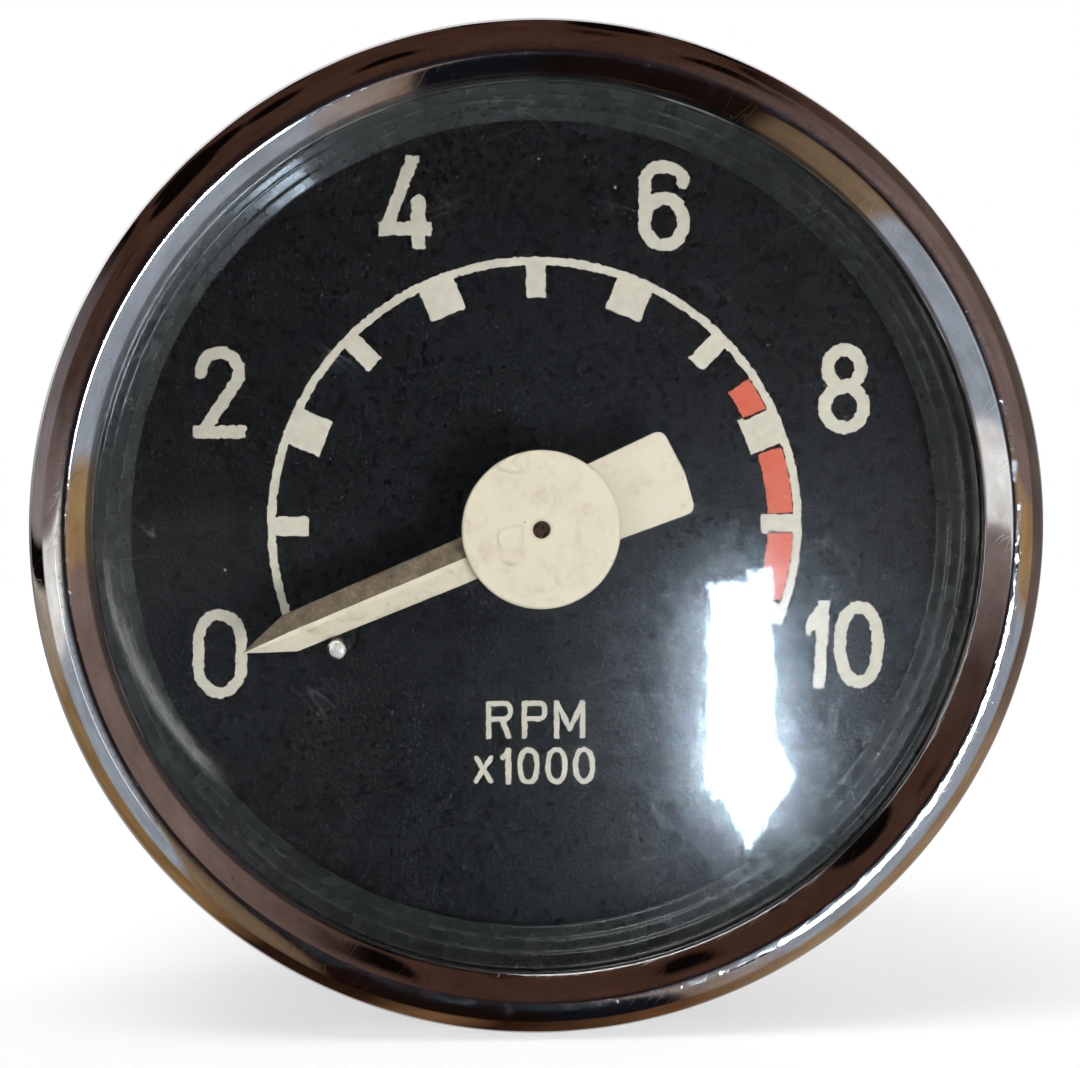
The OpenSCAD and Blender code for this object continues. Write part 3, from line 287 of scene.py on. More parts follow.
low_u = daylight.reckon("DIVIDE", from_line("X", LOW_PANE_X), LOW_PANE_HALF_W)
low_v = daylight.reckon("DIVIDE", from_line("Y", LOW_PANE_Y), LOW_PANE_HALF_H)
off = daylight.times(daylight.minus(daylight.plus(low_u, low_v), 1.0), 0.05)
for u, v, half_u, half_v in PANES:
    off_u, off_v = daylight.minus(from_line("X", u), half_u), daylight.minus(from_line("Y", v), half_v)
    off = daylight.reckon("MINIMUM", off, daylight.larger(off_u, off_v))
brushed = daylight.grain(1.0, 3.0, 0.7, where=daylight.place((260, 11, 1)))
off = daylight.plus(off, daylight.times(daylight.minus(brushed, 0.5), 0.055))
bright = daylight.steps(daylight.plus(off, 0.5), (0.496, 1.0), (0.520, 0.0))
sky_light = daylight.minus(SKY_LIGHT, daylight.times(
    daylight.seen("Is Transmission Ray"), SKY_LIGHT - SKY_LIGHT_THROUGH_GLASS))
daylight.shine(Color=SKY_BLUE, Strength=daylight.times(daylight.times(bright, bright), sky_light))
daylight.on(window)
window.visible_camera = window.visible_diffuse = window.visible_shadow = False

# Room: what the chrome and the glass mirror. A dark brown room with beams above, a pale
# wall low on the right and a doorway low on the left stands round the instrument.
ROOM_R = 1.5
SLIT_LIGHT = 2.5


def seen_as(*shade):
    """The linear colour of a shade that is given as it is seen, from 0 to 255."""
    return tuple(c / 255 / 12.92 if c < 10.3 else ((c / 255 + 0.055) / 1.055) ** 2.4 for c in shade)


shape = bmesh.new()
bmesh.ops.create_icosphere(shape, subdivisions=5, radius=ROOM_R)
room = stand("room", shape)
dark_room = Finish("dark_room")
outward = dark_room.node("ShaderNodeVectorMath", {0: dark_room.place()}, operation="NORMALIZE").outputs[0]
facing = dark_room.split(outward)
# Where a spot of the room lies: its angle off the line of sight, and its turn round that line
off_sight = dark_room.reckon("ARCCOSINE", dark_room.times(facing["Y"], -1.0))
aside = dark_room.reckon("DIVIDE", off_sight, math.pi)
round_axis = dark_room.plus(dark_room.reckon("DIVIDE", dark_room.reckon(
    "ARCTAN2", facing["Z"], facing["X"]), 2 * math.pi), 0.5)
PALE_MAUVE = (150, 140, 142)
MAUVE, TAN, UMBER, BEAM = (136, 122, 120), (135, 114, 90), (74, 51, 41), (10, 7, 6)
WALL, DOORWAY, NIGHT, GOLD = (164, 174, 188), (255, 255, 255), (18, 20, 26), (170, 140, 100)


def round_the_room(*shades):
    """Shades round the axis: 0 is the left, 0.25 the floor, 0.5 the right and 0.75 the ceiling."""
    return dark_room.steps(round_axis, *[(at_turn, seen_as(*shade)) for at_turn, shade in shades])


near_walls = round_the_room(
    (0.0, MAUVE), (0.011, MAUVE), (0.0153, DOORWAY), (0.05, DOORWAY), (0.0556, WALL), (0.133, WALL),
    (0.139, TAN), (0.186, (110, 90, 70)), (0.194, (28, 16, 12)), (0.262, (24, 16, 14)),
    (0.272, NIGHT), (0.304, NIGHT), (0.308, (150, 130, 115)), (0.336, (160, 150, 150)),
    (0.342, WALL), (0.462, WALL), (0.468, GOLD), (0.495, GOLD), (0.5, (132, 112, 108)),
    (0.597, (125, 105, 100)), (0.681, UMBER), (0.917, UMBER), (0.958, (80, 62, 58)), (1.0, MAUVE))
far_walls = round_the_room(
    (0.0, PALE_MAUVE), (0.0125, PALE_MAUVE), (0.0145, BEAM), (0.0278, BEAM), (0.0306, (190, 180, 170)),
    (0.0444, (175, 160, 145)), (0.0694, (150, 122, 85)), (0.153, (140, 108, 72)), (0.172, (45, 28, 20)),
    (0.208, (50, 30, 20)), (0.23, (130, 95, 65)), (0.25, (48, 28, 18)), (0.306, (110, 75, 50)),
    (0.347, (165, 138, 108)), (0.417, (160, 135, 108)), (0.444, (120, 100, 90)), (0.5, (100, 88, 85)),
    (0.583, (98, 82, 76)), (0.667, (72, 48, 39)), (0.903, (70, 46, 37)), (0.939, (112, 102, 104)),
    (1.0, PALE_MAUVE))


def by_place(turns, rings):
    """A place for a pattern that repeats round the room and outward from its middle."""
    return dark_room.node("ShaderNodeCombineXYZ", {
        0: dark_room.times(round_axis, turns), 1: dark_room.times(aside, rings)}).outputs[0]


walls = dark_room.mix(dark_room.steps(aside, (0.43, 0.0), (0.47, 1.0)), near_walls, far_walls)
walls = dark_room.mix(dark_room.steps(aside, (0.06, 1.0), (0.15, 0.0)), walls, seen_as(38, 28, 30))
walls = dark_room.mix(dark_room.steps(aside, (0.84, 0.0), (0.92, 1.0)), walls, seen_as(196, 190, 184))
streaks = dark_room.steps(dark_room.grain(1.0, 4.0, 0.65, where=by_place(60.0, 5.0)),
                          (0.30, (0.62, 0.60, 0.58)), (0.68, (1.0, 1.0, 1.0)))
walls = dark_room.mix(1.0, walls, streaks, "MULTIPLY")
beams = dark_room.steps(dark_room.cells(1.0, where=by_place(27.0, 4.3)), (0.42, 1.0), (0.52, 0.0))
overhead = dark_room.times(dark_room.steps(round_axis, (0.64, 0.0), (0.67, 1.0), (0.90, 1.0), (0.93, 0.0)),
                           dark_room.steps(aside, (0.28, 0.0), (0.32, 1.0)))
walls = dark_room.mix(dark_room.times(beams, overhead), walls, seen_as(*BEAM))
# The glass mirrors the room much more darkly than the chrome does, and so does the dial behind it.
paths = dark_room.node("ShaderNodeLightPath").outputs
by_glass = dark_room.larger(paths["Is Singular Ray"], paths["Is Transmission Ray"])
walls = dark_room.mix(dark_room.times(by_glass, 0.93), walls, (0.002, 0.003, 0.005))
slit = dark_room.times(
    dark_room.steps(aside, (0.199, 0.0), (0.201, 1.0), (0.204, 1.0), (0.206, 0.0)),
    dark_room.steps(round_axis, (0.018, 0.0), (0.03, 1.0), (0.12, 1.0), (0.135, 0.0)))
light = dark_room.shine(Color=dark_room.mix(slit, walls, (1, 1, 1)),
                        Strength=dark_room.plus(1.0, dark_room.times(slit, SLIT_LIGHT)))
dark_room.show(dark_room.straight(), light, dark_room.node("ShaderNodeBsdfTransparent").outputs[0])
dark_room.on(room)
room.visible_camera = room.visible_diffuse = room.visible_shadow = False

# Bowl: half a sphere of grey card behind the instrument, open to the front. Only the
# metal at the back mirrors it: a grey studio with a pale ceiling.
BOWL_R = 0.085
BOWL_FROM_Y = 0.002
shape = bmesh.new()
bmesh.ops.create_icosphere(shape, subdivisions=5, radius=BOWL_R)
bmesh.ops.delete(shape, geom=[v for v in shape.verts if v.co.y < BOWL_FROM_Y], context="VERTS")
bowl = stand("grey_bowl", shape)
studio = Finish("grey_card")
height = studio.plus(studio.times(studio.split(studio.place())["Z"], 0.5 / BOWL_R), 0.5)
light = studio.shine(Color=studio.steps(
    height, (0.0, (0.45, 0.45, 0.45)), (0.46, (0.16, 0.16, 0.165)), (0.56, (0.42, 0.42, 0.43)),
    (0.72, (0.95, 0.95, 0.96)), (1.0, (0.70, 0.70, 0.72))))
studio.show(studio.straight(), light, studio.node("ShaderNodeBsdfTransparent").outputs[0])
studio.on(bowl)
bowl.visible_camera = bowl.visible_diffuse = bowl.visible_shadow = False

# Case: a deep-drawn steel cup with a flange that carries the glass and the bezel. It is
# stove-enamelled black; the enamel has a slight orange peel and is rubbed at its edges.
enamel = Finish("stove_enamel", Metallic=0.0, Coat_Weight=0.25, Coat_Roughness=0.18)
rubbed = enamel.steps(enamel.grain(320.0, 5.0, 0.7), (0.70, 0.0), (0.78, 1.0))
black = enamel.steps(enamel.grain(60.0, 3.0), (0.3, (0.013, 0.013, 0.014)), (0.7, (0.024, 0.024, 0.025)))
enamel.give("Base Color", enamel.mix(rubbed, black, (0.075, 0.072, 0.068)))
enamel.give("Roughness", enamel.steps(enamel.grain(210.0, 4.0), (0.3, 0.30), (0.7, 0.48)))
enamel.give("Normal", enamel.relief(enamel.grain(900.0, 2.0), 2.5e-5, 0.6))
enamel.on(nodes["case"])


# Mounting studs: two M5 studs with a head inside the case, pressed in from the front.
# They are of zinc-plated steel with rolled threads.
def at(x, y, z):
    """A place in the instrument: x to the right, y up and z to the front, in millimetres."""
    return Vector((x, -z, y)) * 0.001


def turn_on_lathe(shape, profile, centre=(0, 0), parts=128, closed=True):
    """Turns a profile of (radius, height) about an axis. A thread's radius follows the angle."""
    rings = []
    for radius, z in profile:
        if radius == 0:
            rings.append([shape.verts.new(at(*centre, z))])
            continue
        ring = []
        for i in range(parts):
            angle = 2 * math.pi * i / parts
            r = radius(angle) if callable(radius) else radius
            x, y = centre[0] + r * math.cos(angle), centre[1] + r * math.sin(angle)
            ring.append(shape.verts.new(at(x, y, z)))
        rings.append(ring)
    following = rings[1:] + rings[:1] if closed else rings[1:]
    for low, high in zip(rings, following):
        if len(low) + len(high) == 2:
            continue
        for i in range(parts):
            j = (i + 1) % parts
            corners = (low[i % len(low)], low[j % len(low)], high[j % len(high)], high[i % len(high)])
            shape.faces.new(list(dict.fromkeys(corners)))


def arc(x, y, rx, ry, start, end, count):
    """Points of an arc about x, y, from one angle in degrees to another."""
    angles = [math.radians(start + (end - start) * i / count) for i in range(count + 1)]
    return [(x + rx * math.cos(a), y + ry * math.sin(a)) for a in angles]


def soften(profile, size, count=3):
    """Takes the sharp corners off a closed profile."""
    points, result = [Vector(p) for p in profile], []
    for k, p in enumerate(points):
        back, ahead = points[k - 1] - p, points[(k + 1) % len(points)] - p
        if p.x == 0:
            result.append((0, p.y))
            continue
        start = p + back.normalized() * min(size, 0.45 * back.length)
        end = p + ahead.normalized() * min(size, 0.45 * ahead.length)
        for i in range(count + 1):
            t = i / count
            result.append(tuple((1 - t) ** 2 * start + 2 * t * (1 - t) * p + t * t * end))
    return result


def threaded(major, pitch, depth, z_from, z_to, tip):
    """A thread's profile along its length, with its first turn run down to the tip's radius."""
    rows = []
    for i in range(int((z_to - z_from) / pitch * 8) + 1):
        z = z_from + i * pitch / 8
        limit = min(major, tip + (z - z_from) * 0.9)

        def radius(angle, z=z, limit=limit):
            turns = (z / pitch - angle / (2 * math.pi)) % 1
            return min(limit, major - depth * abs(2 * turns - 1))

        rows.append((radius, z))
    return rows


def finish_piece(name, shape, body, slot, coat, *stands_for, sharp=35):
    """Makes the piece's object, gives it its finish, and lets it ride on its body."""
    bmesh.ops.recalc_face_normals(shape, faces=shape.faces)
    for edge in shape.edges:
        edge.smooth = edge.calc_face_angle(0) < math.radians(sharp)
    for face in shape.faces:
        face.smooth = True
    piece = stand(name, shape)
    coat.on(piece)
    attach(piece, body)
    if stands_for:
        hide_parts(*stands_for)
    return piece


def metal(name, fresh, aged, roughness, marks=900.0, stretch=(1, 1, 1), depth=4e-6):
    """Bare or plated metal: two tones in cloudy patches, fine tool marks and uneven gloss."""
    made = Finish(name, Metallic=1.0)
    tool = made.grain(marks, 3.0, where=made.place(stretch))
    clouds = made.steps(made.grain(170.0, 5.0, 0.65), (0.36, 0.0), (0.66, 1.0))
    made.give("Base Color", made.mix(clouds, fresh, aged))
    made.give("Roughness", made.steps(tool, (0.3, roughness - 0.07), (0.7, roughness + 0.10)))
    made.give("Normal", made.relief(tool, depth))
    return made


STUD_X = 22.0
STUD_R = 2.5
STUD_PITCH, STUD_THREAD_H = 0.8, 0.45
STUD_TIP_R, STUD_TIP_Z, STUD_THREAD_END_Z = 1.75, -16.0, -1.2
STUD_HEAD_R, STUD_HEAD_LOW_Z, STUD_HEAD_TOP_Z = 4.0, 1.0, 3.0
zinc_plate = metal("zinc_plate", (0.58, 0.60, 0.61), (0.44, 0.43, 0.38), 0.34, 1500.0)
shape = bmesh.new()
for x in (-STUD_X, STUD_X):
    thread = threaded(STUD_R, STUD_PITCH, STUD_THREAD_H, STUD_TIP_Z, STUD_THREAD_END_Z, STUD_TIP_R)
    head = soften([(STUD_HEAD_R, STUD_HEAD_LOW_Z), (STUD_HEAD_R, STUD_HEAD_TOP_Z),
                   (2.0, STUD_HEAD_TOP_Z)], 0.3)[:8]
    neck = [(2.25, -1.1), (2.25, -0.5), (2.5, -0.2), (2.8, 0.0), (2.8, STUD_HEAD_LOW_Z)]
    turn_on_lathe(shape, [(0, STUD_TIP_Z), *thread, *neck, *head, (0, STUD_HEAD_TOP_Z)], (x, 0), 40, False)
finish_piece("mounting_studs_threaded", shape, "case", "stud_steel", zinc_plate, "mounting_studs")

# Movement frame: a zinc die casting, clamped to the case back by two screws. Its neck
# passes through the back and ends in the M12 spigot for the cable's nut.
SPIGOT_R, SPIGOT_PITCH, SPIGOT_THREAD_H, SPIGOT_TIP_Z = 6.0, 1.0, 0.55, -14.0
FLANGE_R, FLANGE_Z = 17.6, 5.0
CASE_WALL = 1.0
NECK_R, NECK_Z, BOSS_R, BOSS_Z = 7.3, -2.0, 6.4, 9.6
BUSH_R, FERRULE_R, FERRULE_Z = 3.5, 4.1, -5.0
FRAME_SCREW_X = 12.5
PILLAR_CIRCLE_R = 15.5
PILLAR_ANGLES = (75, 195, 315)
SCREW_HOLE_R, PILLAR_HOLE_R, LAMP_RECESS_R = 2.0, 1.25, 10.6
LAMP_Y = -27.5


def cut(piece, cutters):
    """Takes the cutters' shape out of a piece, and removes the cutters."""
    bmesh.ops.recalc_face_normals(cutters, faces=cutters.faces)
    tool = stand("cutters", cutters)
    step = piece.modifiers.new("cut", "BOOLEAN")
    step.operation, step.solver, step.object = "DIFFERENCE", "EXACT", tool
    bpy.context.view_layer.update()
    cut_mesh = bpy.data.meshes.new_from_object(piece.evaluated_get(bpy.context.evaluated_depsgraph_get()))
    piece.modifiers.remove(step)
    piece.data = cut_mesh
    bpy.data.objects.remove(tool)
    for polygon in cut_mesh.polygons:
        polygon.use_smooth = True
    cut_mesh.set_sharp_from_angle(angle=math.radians(35))


casting = metal("cast_zinc", (0.50, 0.50, 0.49), (0.36, 0.355, 0.34), 0.46, 2600.0, depth=1.2e-5)
shape = bmesh.new()
thread = threaded(SPIGOT_R, SPIGOT_PITCH, SPIGOT_THREAD_H, SPIGOT_TIP_Z, -4.5, 5.1)
body = soften([
    (NECK_R, NECK_Z), (NECK_R, CASE_WALL), (FLANGE_R, CASE_WALL), (FLANGE_R, FLANGE_Z), (BOSS_R, FLANGE_Z),
    (BOSS_R, BOSS_Z), (BUSH_R, BOSS_Z), (BUSH_R, FERRULE_Z), (FERRULE_R, FERRULE_Z),
    (FERRULE_R, SPIGOT_TIP_Z)], 0.25)
neck = [(5.4, -4.3), (5.4, -3.4), (SPIGOT_R, -3.1), (SPIGOT_R, NECK_Z)]
turn_on_lathe(shape, [*thread, *neck, *body], parts=96)
casting_piece = finish_piece("movement_casting", shape, "case", "frame_zinc", casting, "movement_frame")
cutters = bmesh.new()
for x in (-FRAME_SCREW_X, FRAME_SCREW_X):
    turn_on_lathe(cutters, [(0, 0.5), (SCREW_HOLE_R, 0.5), (SCREW_HOLE_R, 4.0), (0, 4.4)],
                  (x, 0), 40, False)
for angle in PILLAR_ANGLES:
    a = math.radians(angle)
    turn_on_lathe(cutters, [(0, 2.0), (PILLAR_HOLE_R, 2.0), (PILLAR_HOLE_R, 5.5), (0, 5.5)],
                  (PILLAR_CIRCLE_R * math.cos(a), PILLAR_CIRCLE_R * math.sin(a)), 32, False)
turn_on_lathe(cutters, [(0, 0.5), (LAMP_RECESS_R, 0.5), (LAMP_RECESS_R, 5.5), (0, 5.5)],
              (0, LAMP_Y), 96, False)
cut(casting_piece, cutters)
zinc_plate.on(nodes["frame_screws"], nodes["frame_washers"])

# Bearings: two bushes of sintered bronze pressed in the casting, with an oiled felt ring
# between them and a bronze thrust washer in front.
sintered = metal("sintered_bronze", (0.50, 0.34, 0.17), (0.33, 0.20, 0.10), 0.42, 5200.0, depth=1.6e-5)
sintered.on(nodes["rear_bush"], nodes["front_bush"], nodes["thrust_washer"])
FELT_R, FELT_BORE = 3.5, 2.55
FELT_LOW_Z, FELT_TOP_Z = 2.0, 5.6
felt = Finish("oiled_felt", Roughness=0.95, Sheen_Weight=0.35, Sheen_Roughness=0.5)
fibre = felt.grain(4200.0, 6.0, 0.75, warp=1.6)
felt.give("Base Color", felt.steps(fibre, (0.3, (0.12, 0.09, 0.05)), (0.7, (0.34, 0.28, 0.18))))
felt.give("Normal", felt.relief(fibre, 8e-5))
shape = bmesh.new()
turn_on_lathe(shape, soften([(FELT_R, FELT_LOW_Z), (FELT_R, FELT_TOP_Z), (FELT_BORE, FELT_TOP_Z),
                             (FELT_BORE, FELT_LOW_Z)], 0.3), parts=96)
for v in shape.verts:
    fuzz = 1 + 0.018 * noise.noise(v.co * 2600.0)
    v.co.x, v.co.z = v.co.x * min(fuzz, 1.0), v.co.z * min(fuzz, 1.0)
finish_piece("felt_ring", shape, "case", "felt", felt, "oil_felt")

# Drive shaft: ground steel with the cable's square socket behind. It carries the field
# cup of soft iron, the sintered magnet and the pivot bearing of the pointer's spindle.
AXIAL_LINES = (1, 18, 1)
ground = metal("ground_steel", (0.56, 0.57, 0.58), (0.42, 0.42, 0.42), 0.24, 700.0, AXIAL_LINES)
ground.on(nodes["drive_shaft"], nodes["shaft_clip"])
iron = metal("soft_iron", (0.44, 0.45, 0.46), (0.33, 0.32, 0.30), 0.36, 600.0, AXIAL_LINES)
iron.on(nodes["field_cup"])
magnet_grain = Finish("sintered_magnet", Metallic=0.55)
speck = magnet_grain.cells(3600.0)
magnet_grain.give("Base Color", magnet_grain.steps(
    speck, (0.1, (0.05, 0.05, 0.053)), (0.8, (0.11, 0.11, 0.115))))
magnet_grain.give("Roughness", magnet_grain.steps(magnet_grain.grain(900.0), (0.3, 0.5), (0.7, 0.75)))
magnet_grain.give("Normal", magnet_grain.relief(speck, 1.5e-5))
magnet_grain.on(nodes["magnet"])
brass = metal("tarnished_brass", (0.66, 0.48, 0.21), (0.42, 0.27, 0.10), 0.30, 800.0, AXIAL_LINES)
brass.on(nodes["pivot_bearing"])

# Bridge: three steel pillars screwed in the casting carry a brass plate with the front
# bearing and the regulator, an arm that sets the hairspring.
ground.on(nodes["frame_pillars"], nodes["pillar_screws"], nodes["dial_screws"])
brass_sheet = metal("brushed_brass", (0.64, 0.47, 0.21), (0.45, 0.30, 0.12), 0.34, 500.0, (14, 1, 1))
brass_sheet.on(nodes["bridge_plate"], nodes["regulator"])
brass.on(nodes["upper_bearing"])

# Pointer's movement: a steel spindle in two bearings with the drag cup, a spun aluminium
# cup between magnet and field cup, and the blued hairspring that turns it back to zero.
browned = metal("browned_spindle", (0.16, 0.085, 0.055), (0.07, 0.04, 0.03), 0.30, 2200.0)
browned.on(nodes["spindle"])
spun = metal("spun_aluminium", (0.78, 0.79, 0.80), (0.62, 0.62, 0.61), 0.28, 650.0, AXIAL_LINES)
spun.on(nodes["drag_cup"])
brass.on(nodes["cup_collet"], nodes["spring_collet"])
blued = metal("blued_spring", (0.05, 0.10, 0.32), (0.10, 0.06, 0.20), 0.22, 1600.0)
blued.on(nodes["hairspring"])

# Stop pin: turned steel, fixed in the bridge, leaning outward through the dial. The pointer rests against
# it at zero. Its end is turned to a blunt cone; the faces of its end that look to the front are painted
# bright, a painted highlight, and its side is a dark brownish steel, a painted shade.
PIN_ANGLE = math.radians(210.34)
PIN_FOOT_R = 16.68
PIN_FOOT_Z = 33.0
PIN_LEAN = math.radians(12)
PIN_LENGTH = 15.95
PIN_R = 0.85
pin_steel = metal("turned_pin", (0.34, 0.32, 0.29), (0.20, 0.18, 0.15), 0.30, 1800.0)
pin_end_highlight = metal("pin_end_painted_highlight", (0.92, 0.91, 0.88), (0.80, 0.78, 0.74), 0.28, 2600.0)
pin_end_highlight.give("Metallic", 0.5)


def on_arm(out, across, z, angle):
    """A place on an arm that points outward from the axis at an angle."""
    c, s = math.cos(angle), math.sin(angle)
    return at(out * c - across * s, out * s + across * c, z)


shape = bmesh.new()
turn_on_lathe(shape, [(0, 0), (PIN_R, 0), (PIN_R, PIN_LENGTH - 0.42), (PIN_R - 0.07, PIN_LENGTH - 0.26),
                      (PIN_R - 0.26, PIN_LENGTH - 0.13), (0, PIN_LENGTH)], parts=48, closed=False)
for v in shape.verts:
    x, y, z = v.co.x * 1000, v.co.z * 1000, -v.co.y * 1000
    out = PIN_FOOT_R + x * math.cos(PIN_LEAN) + z * math.sin(PIN_LEAN)
    z = PIN_FOOT_Z - x * math.sin(PIN_LEAN) + z * math.cos(PIN_LEAN)
    v.co = on_arm(out, y, z, PIN_ANGLE)
pin = finish_piece("turned_stop_pin", shape, "case", "pin_steel", pin_steel, "stop_pin")
# The end faces that look to the front get the painted highlight; the rest keeps the dark steel of the
# painted shade.
pin.data.materials.append(pin_end_highlight.material)
for facet in pin.data.polygons:
    if facet.normal.y < -0.75:
        facet.material_index = 1

# Dial: a brass-backed plate on two posts, sprayed with a fine-grained black paint. It has
# a hole in the middle and an oversize one for the stop pin.
brass.on(nodes["dial_posts"])
dial_paint = Finish("grained_black", Specular_IOR_Level=0.25)
pebble = dial_paint.grain(3000.0, 1.0, 0.5)
dial_paint.give("Base Color", dial_paint.steps(
    dial_paint.grain(3000.0, 2.0, 0.6), (0.46, (0.0007, 0.0008, 0.0009)), (0.70, (0.0065, 0.0076, 0.0098))))
dial_paint.give("Roughness", dial_paint.steps(dial_paint.grain(1500.0, 3.0), (0.3, 0.25), (0.7, 0.32)))
dial_paint.give("Normal", dial_paint.relief(pebble, 1.5e-4, 1.0))
dial_paint.on(nodes["dial"])

# Print: the scale, its figures and the red zone are screen-printed on the dial in thick
# ink, whose edges are slightly ragged. The cream ink has yellowed a little.
DIAL_Z = 43.0
INK_Z = 43.07
ZERO_ANGLE = 202.5
THOUSAND_ANGLE = 22.5
ARC_MID_R = 22.55
ARC_HALF = 0.35
SWEEP = 225
MARK_IN_R = 19.4
EVEN_HALF, ODD_HALF, ZERO_HALF, TEN_HALF = 1.6, 0.825, 0.5, 0.8
SPECKS = ((0.2, 31.2), (6.75, 28.8), (-26.5, -3.7))


def unevenness(x, y, cell, seed):
    """Smooth random unevenness between -1 and 1, with bumps as large as the cell."""
    lattice = np.random.default_rng(seed).uniform(-1, 1, (256, 256))
    u, v = x / cell, y / cell
    i, j = np.floor(u).astype(int), np.floor(v).astype(int)
    s, t = u - i, v - j
    s, t = s * s * (3 - 2 * s), t * t * (3 - 2 * t)
    low = lattice[i % 256, j % 256] * (1 - s) + lattice[(i + 1) % 256, j % 256] * s
    high = lattice[i % 256, (j + 1) % 256] * (1 - s) + lattice[(i + 1) % 256, (j + 1) % 256] * s
    return low * (1 - t) + high * t


def stroke(line, width):
    """Distance to a drawn stroke; below 0 inside it."""
    def distance(x, y):
        best = np.full(x.shape, 1e9)
        for (ax, ay), (bx, by) in zip(line, line[1:]):
            along_x, along_y = bx - ax, by - ay
            size = along_x ** 2 + along_y ** 2
            share = np.clip(((x - ax) * along_x + (y - ay) * along_y) / size, 0, 1)
            best = np.minimum(best, np.hypot(x - ax - share * along_x, y - ay - share * along_y))
        return best - width / 2
    return distance


def loop(x, y, rx, ry, width, power=2.0):
    """An oval ring; a power above 2 makes it squarer."""
    points = []
    for i in range(73):
        a = 2 * math.pi * i / 72
        c, s = math.cos(a), math.sin(a)
        points.append((x + rx * math.copysign(abs(c) ** (2 / power), c),
                       y + ry * math.copysign(abs(s) ** (2 / power), s)))
    return stroke(points, width)


def turning(line):
    """Twice the area inside a loop: above 0 for an outline, below 0 for a hole."""
    return sum(p.x * q.y - q.x * p.y for p, q in zip(line, line[1:] + line[:1]))


def encloses(line, point):
    """Whether a point lies inside a loop."""
    inside = False
    for p, q in zip(line, line[1:] + line[:1]):
        if (p.y > point.y) != (q.y > point.y):
            crossing_x = p.x + (point.y - p.y) / (q.y - p.y) * (q.x - p.x)
            inside ^= point.x < crossing_x
    return inside


def stamp(shape, loops, low_place, high_place):
    """A flat piece cut from sheet: the first loop is its outline, the others are its holes."""
    corners = [p for line in loops for p in line]
    low = [shape.verts.new(low_place(p)) for p in corners]
    high = [shape.verts.new(high_place(p)) for p in corners]
    for a, b, c in geometry.tessellate_polygon(loops):
        shape.faces.new((high[a], high[b], high[c]))
        shape.faces.new((low[c], low[b], low[a]))
    start = 0
    for line in loops:
        for i in range(len(line)):
            a, b = start + i, start + (i + 1) % len(line)
            shape.faces.new((low[a], low[b], high[b], high[a]))
        start += len(line)


# The corners at the ends of each side of a grid square: its lower, right, upper and left side
SIDE_ENDS = (((0, 0), (1, 0)), ((1, 0), (1, 1)), ((0, 1), (1, 1)), ((0, 0), (0, 1)))
# The sides where an outline enters and leaves a square, by which of its corners are inked
OUTLINE_STEPS = {
    1: ((0, 3),), 2: ((1, 0),), 3: ((1, 3),), 4: ((2, 1),), 5: ((0, 3), (2, 1)), 6: ((2, 0),),
    7: ((2, 3),), 8: ((3, 2),), 9: ((0, 2),), 10: ((1, 0), (3, 2)), 11: ((1, 2),), 12: ((3, 1),),
    13: ((0, 1),), 14: ((3, 0),)}


def print_ink(shape, strokes, centre, half_w, half_h, pitch=0.06, rough=1.0):
    """Prints strokes within a box: their joined outline, made ragged, as a raised layer of ink."""
    nx, ny = int(2 * half_w / pitch) + 7, int(2 * half_h / pitch) + 7
    xs = -half_w + (np.arange(nx + 1) - 3) * pitch
    ys = -half_h + (np.arange(ny + 1) - 3) * pitch
    x, y = np.meshgrid(xs, ys, indexing="ij")
    field = np.minimum.reduce([s(x, y) for s in strokes])
    field = np.maximum(field, np.maximum(np.abs(x) - half_w, np.abs(y) - half_h))
    field = field + rough * (0.100 * unevenness(x + centre[0], y + centre[1], 0.26, 5)
                             + 0.040 * unevenness(x + centre[0], y + centre[1], 0.13, 6)) + 1e-7
    inside = field < 0
    code = inside[:-1, :-1] + 2 * inside[1:, :-1] + 4 * inside[1:, 1:] + 8 * inside[:-1, 1:]
    follow = {}
    for i, j in np.argwhere((code > 0) & (code < 15)):
        for sides in OUTLINE_STEPS[int(code[i, j])]:
            enter, leave = [tuple((i + u, j + v) for u, v in SIDE_ENDS[side]) for side in sides]
            follow.setdefault(enter, leave)
    loops = []
    while follow:
        first = key = next(iter(follow))
        line = []
        while key in follow:
            p, q = key
            a, b = field[p], field[q]
            share = min(max(a / (a - b), 0.06), 0.94)
            line.append(Vector((x[p] + share * (x[q] - x[p]) + centre[0],
                                y[p] + share * (y[q] - y[p]) + centre[1], 0)))
            key = follow.pop(key)
        if len(line) > 5:
            loops.append(line)
    outlines = [line for line in loops if turning(line) > 0]
    for outline in outlines:
        holes = [line for line in loops if turning(line) < 0 and encloses(outline, line[0])]
        stamp(shape, [outline, *holes], lambda p: at(p.x, p.y, DIAL_Z), lambda p: at(p.x, p.y, INK_Z))


def ink(name, fresh, worn):
    """Screen ink: a matt layer with mottling, pinholes that show the black paint, and a slight relief."""
    made = Finish(name, Roughness=0.55)
    mottle = made.steps(made.grain(1500.0, 5.0, 0.7), (0.35, fresh), (0.75, worn))
    pinhole = made.steps(made.cells(2400.0), (0.035, 1.0), (0.06, 0.0))
    sparse = made.steps(made.grain(420.0, 2.0), (0.60, 0.0), (0.64, 1.0))
    made.give("Base Color", made.mix(made.times(pinhole, sparse), mottle, (0.02, 0.02, 0.022)))
    made.give("Normal", made.relief(made.grain(3600.0, 3.0), 1.5e-5, 0.6))
    return made


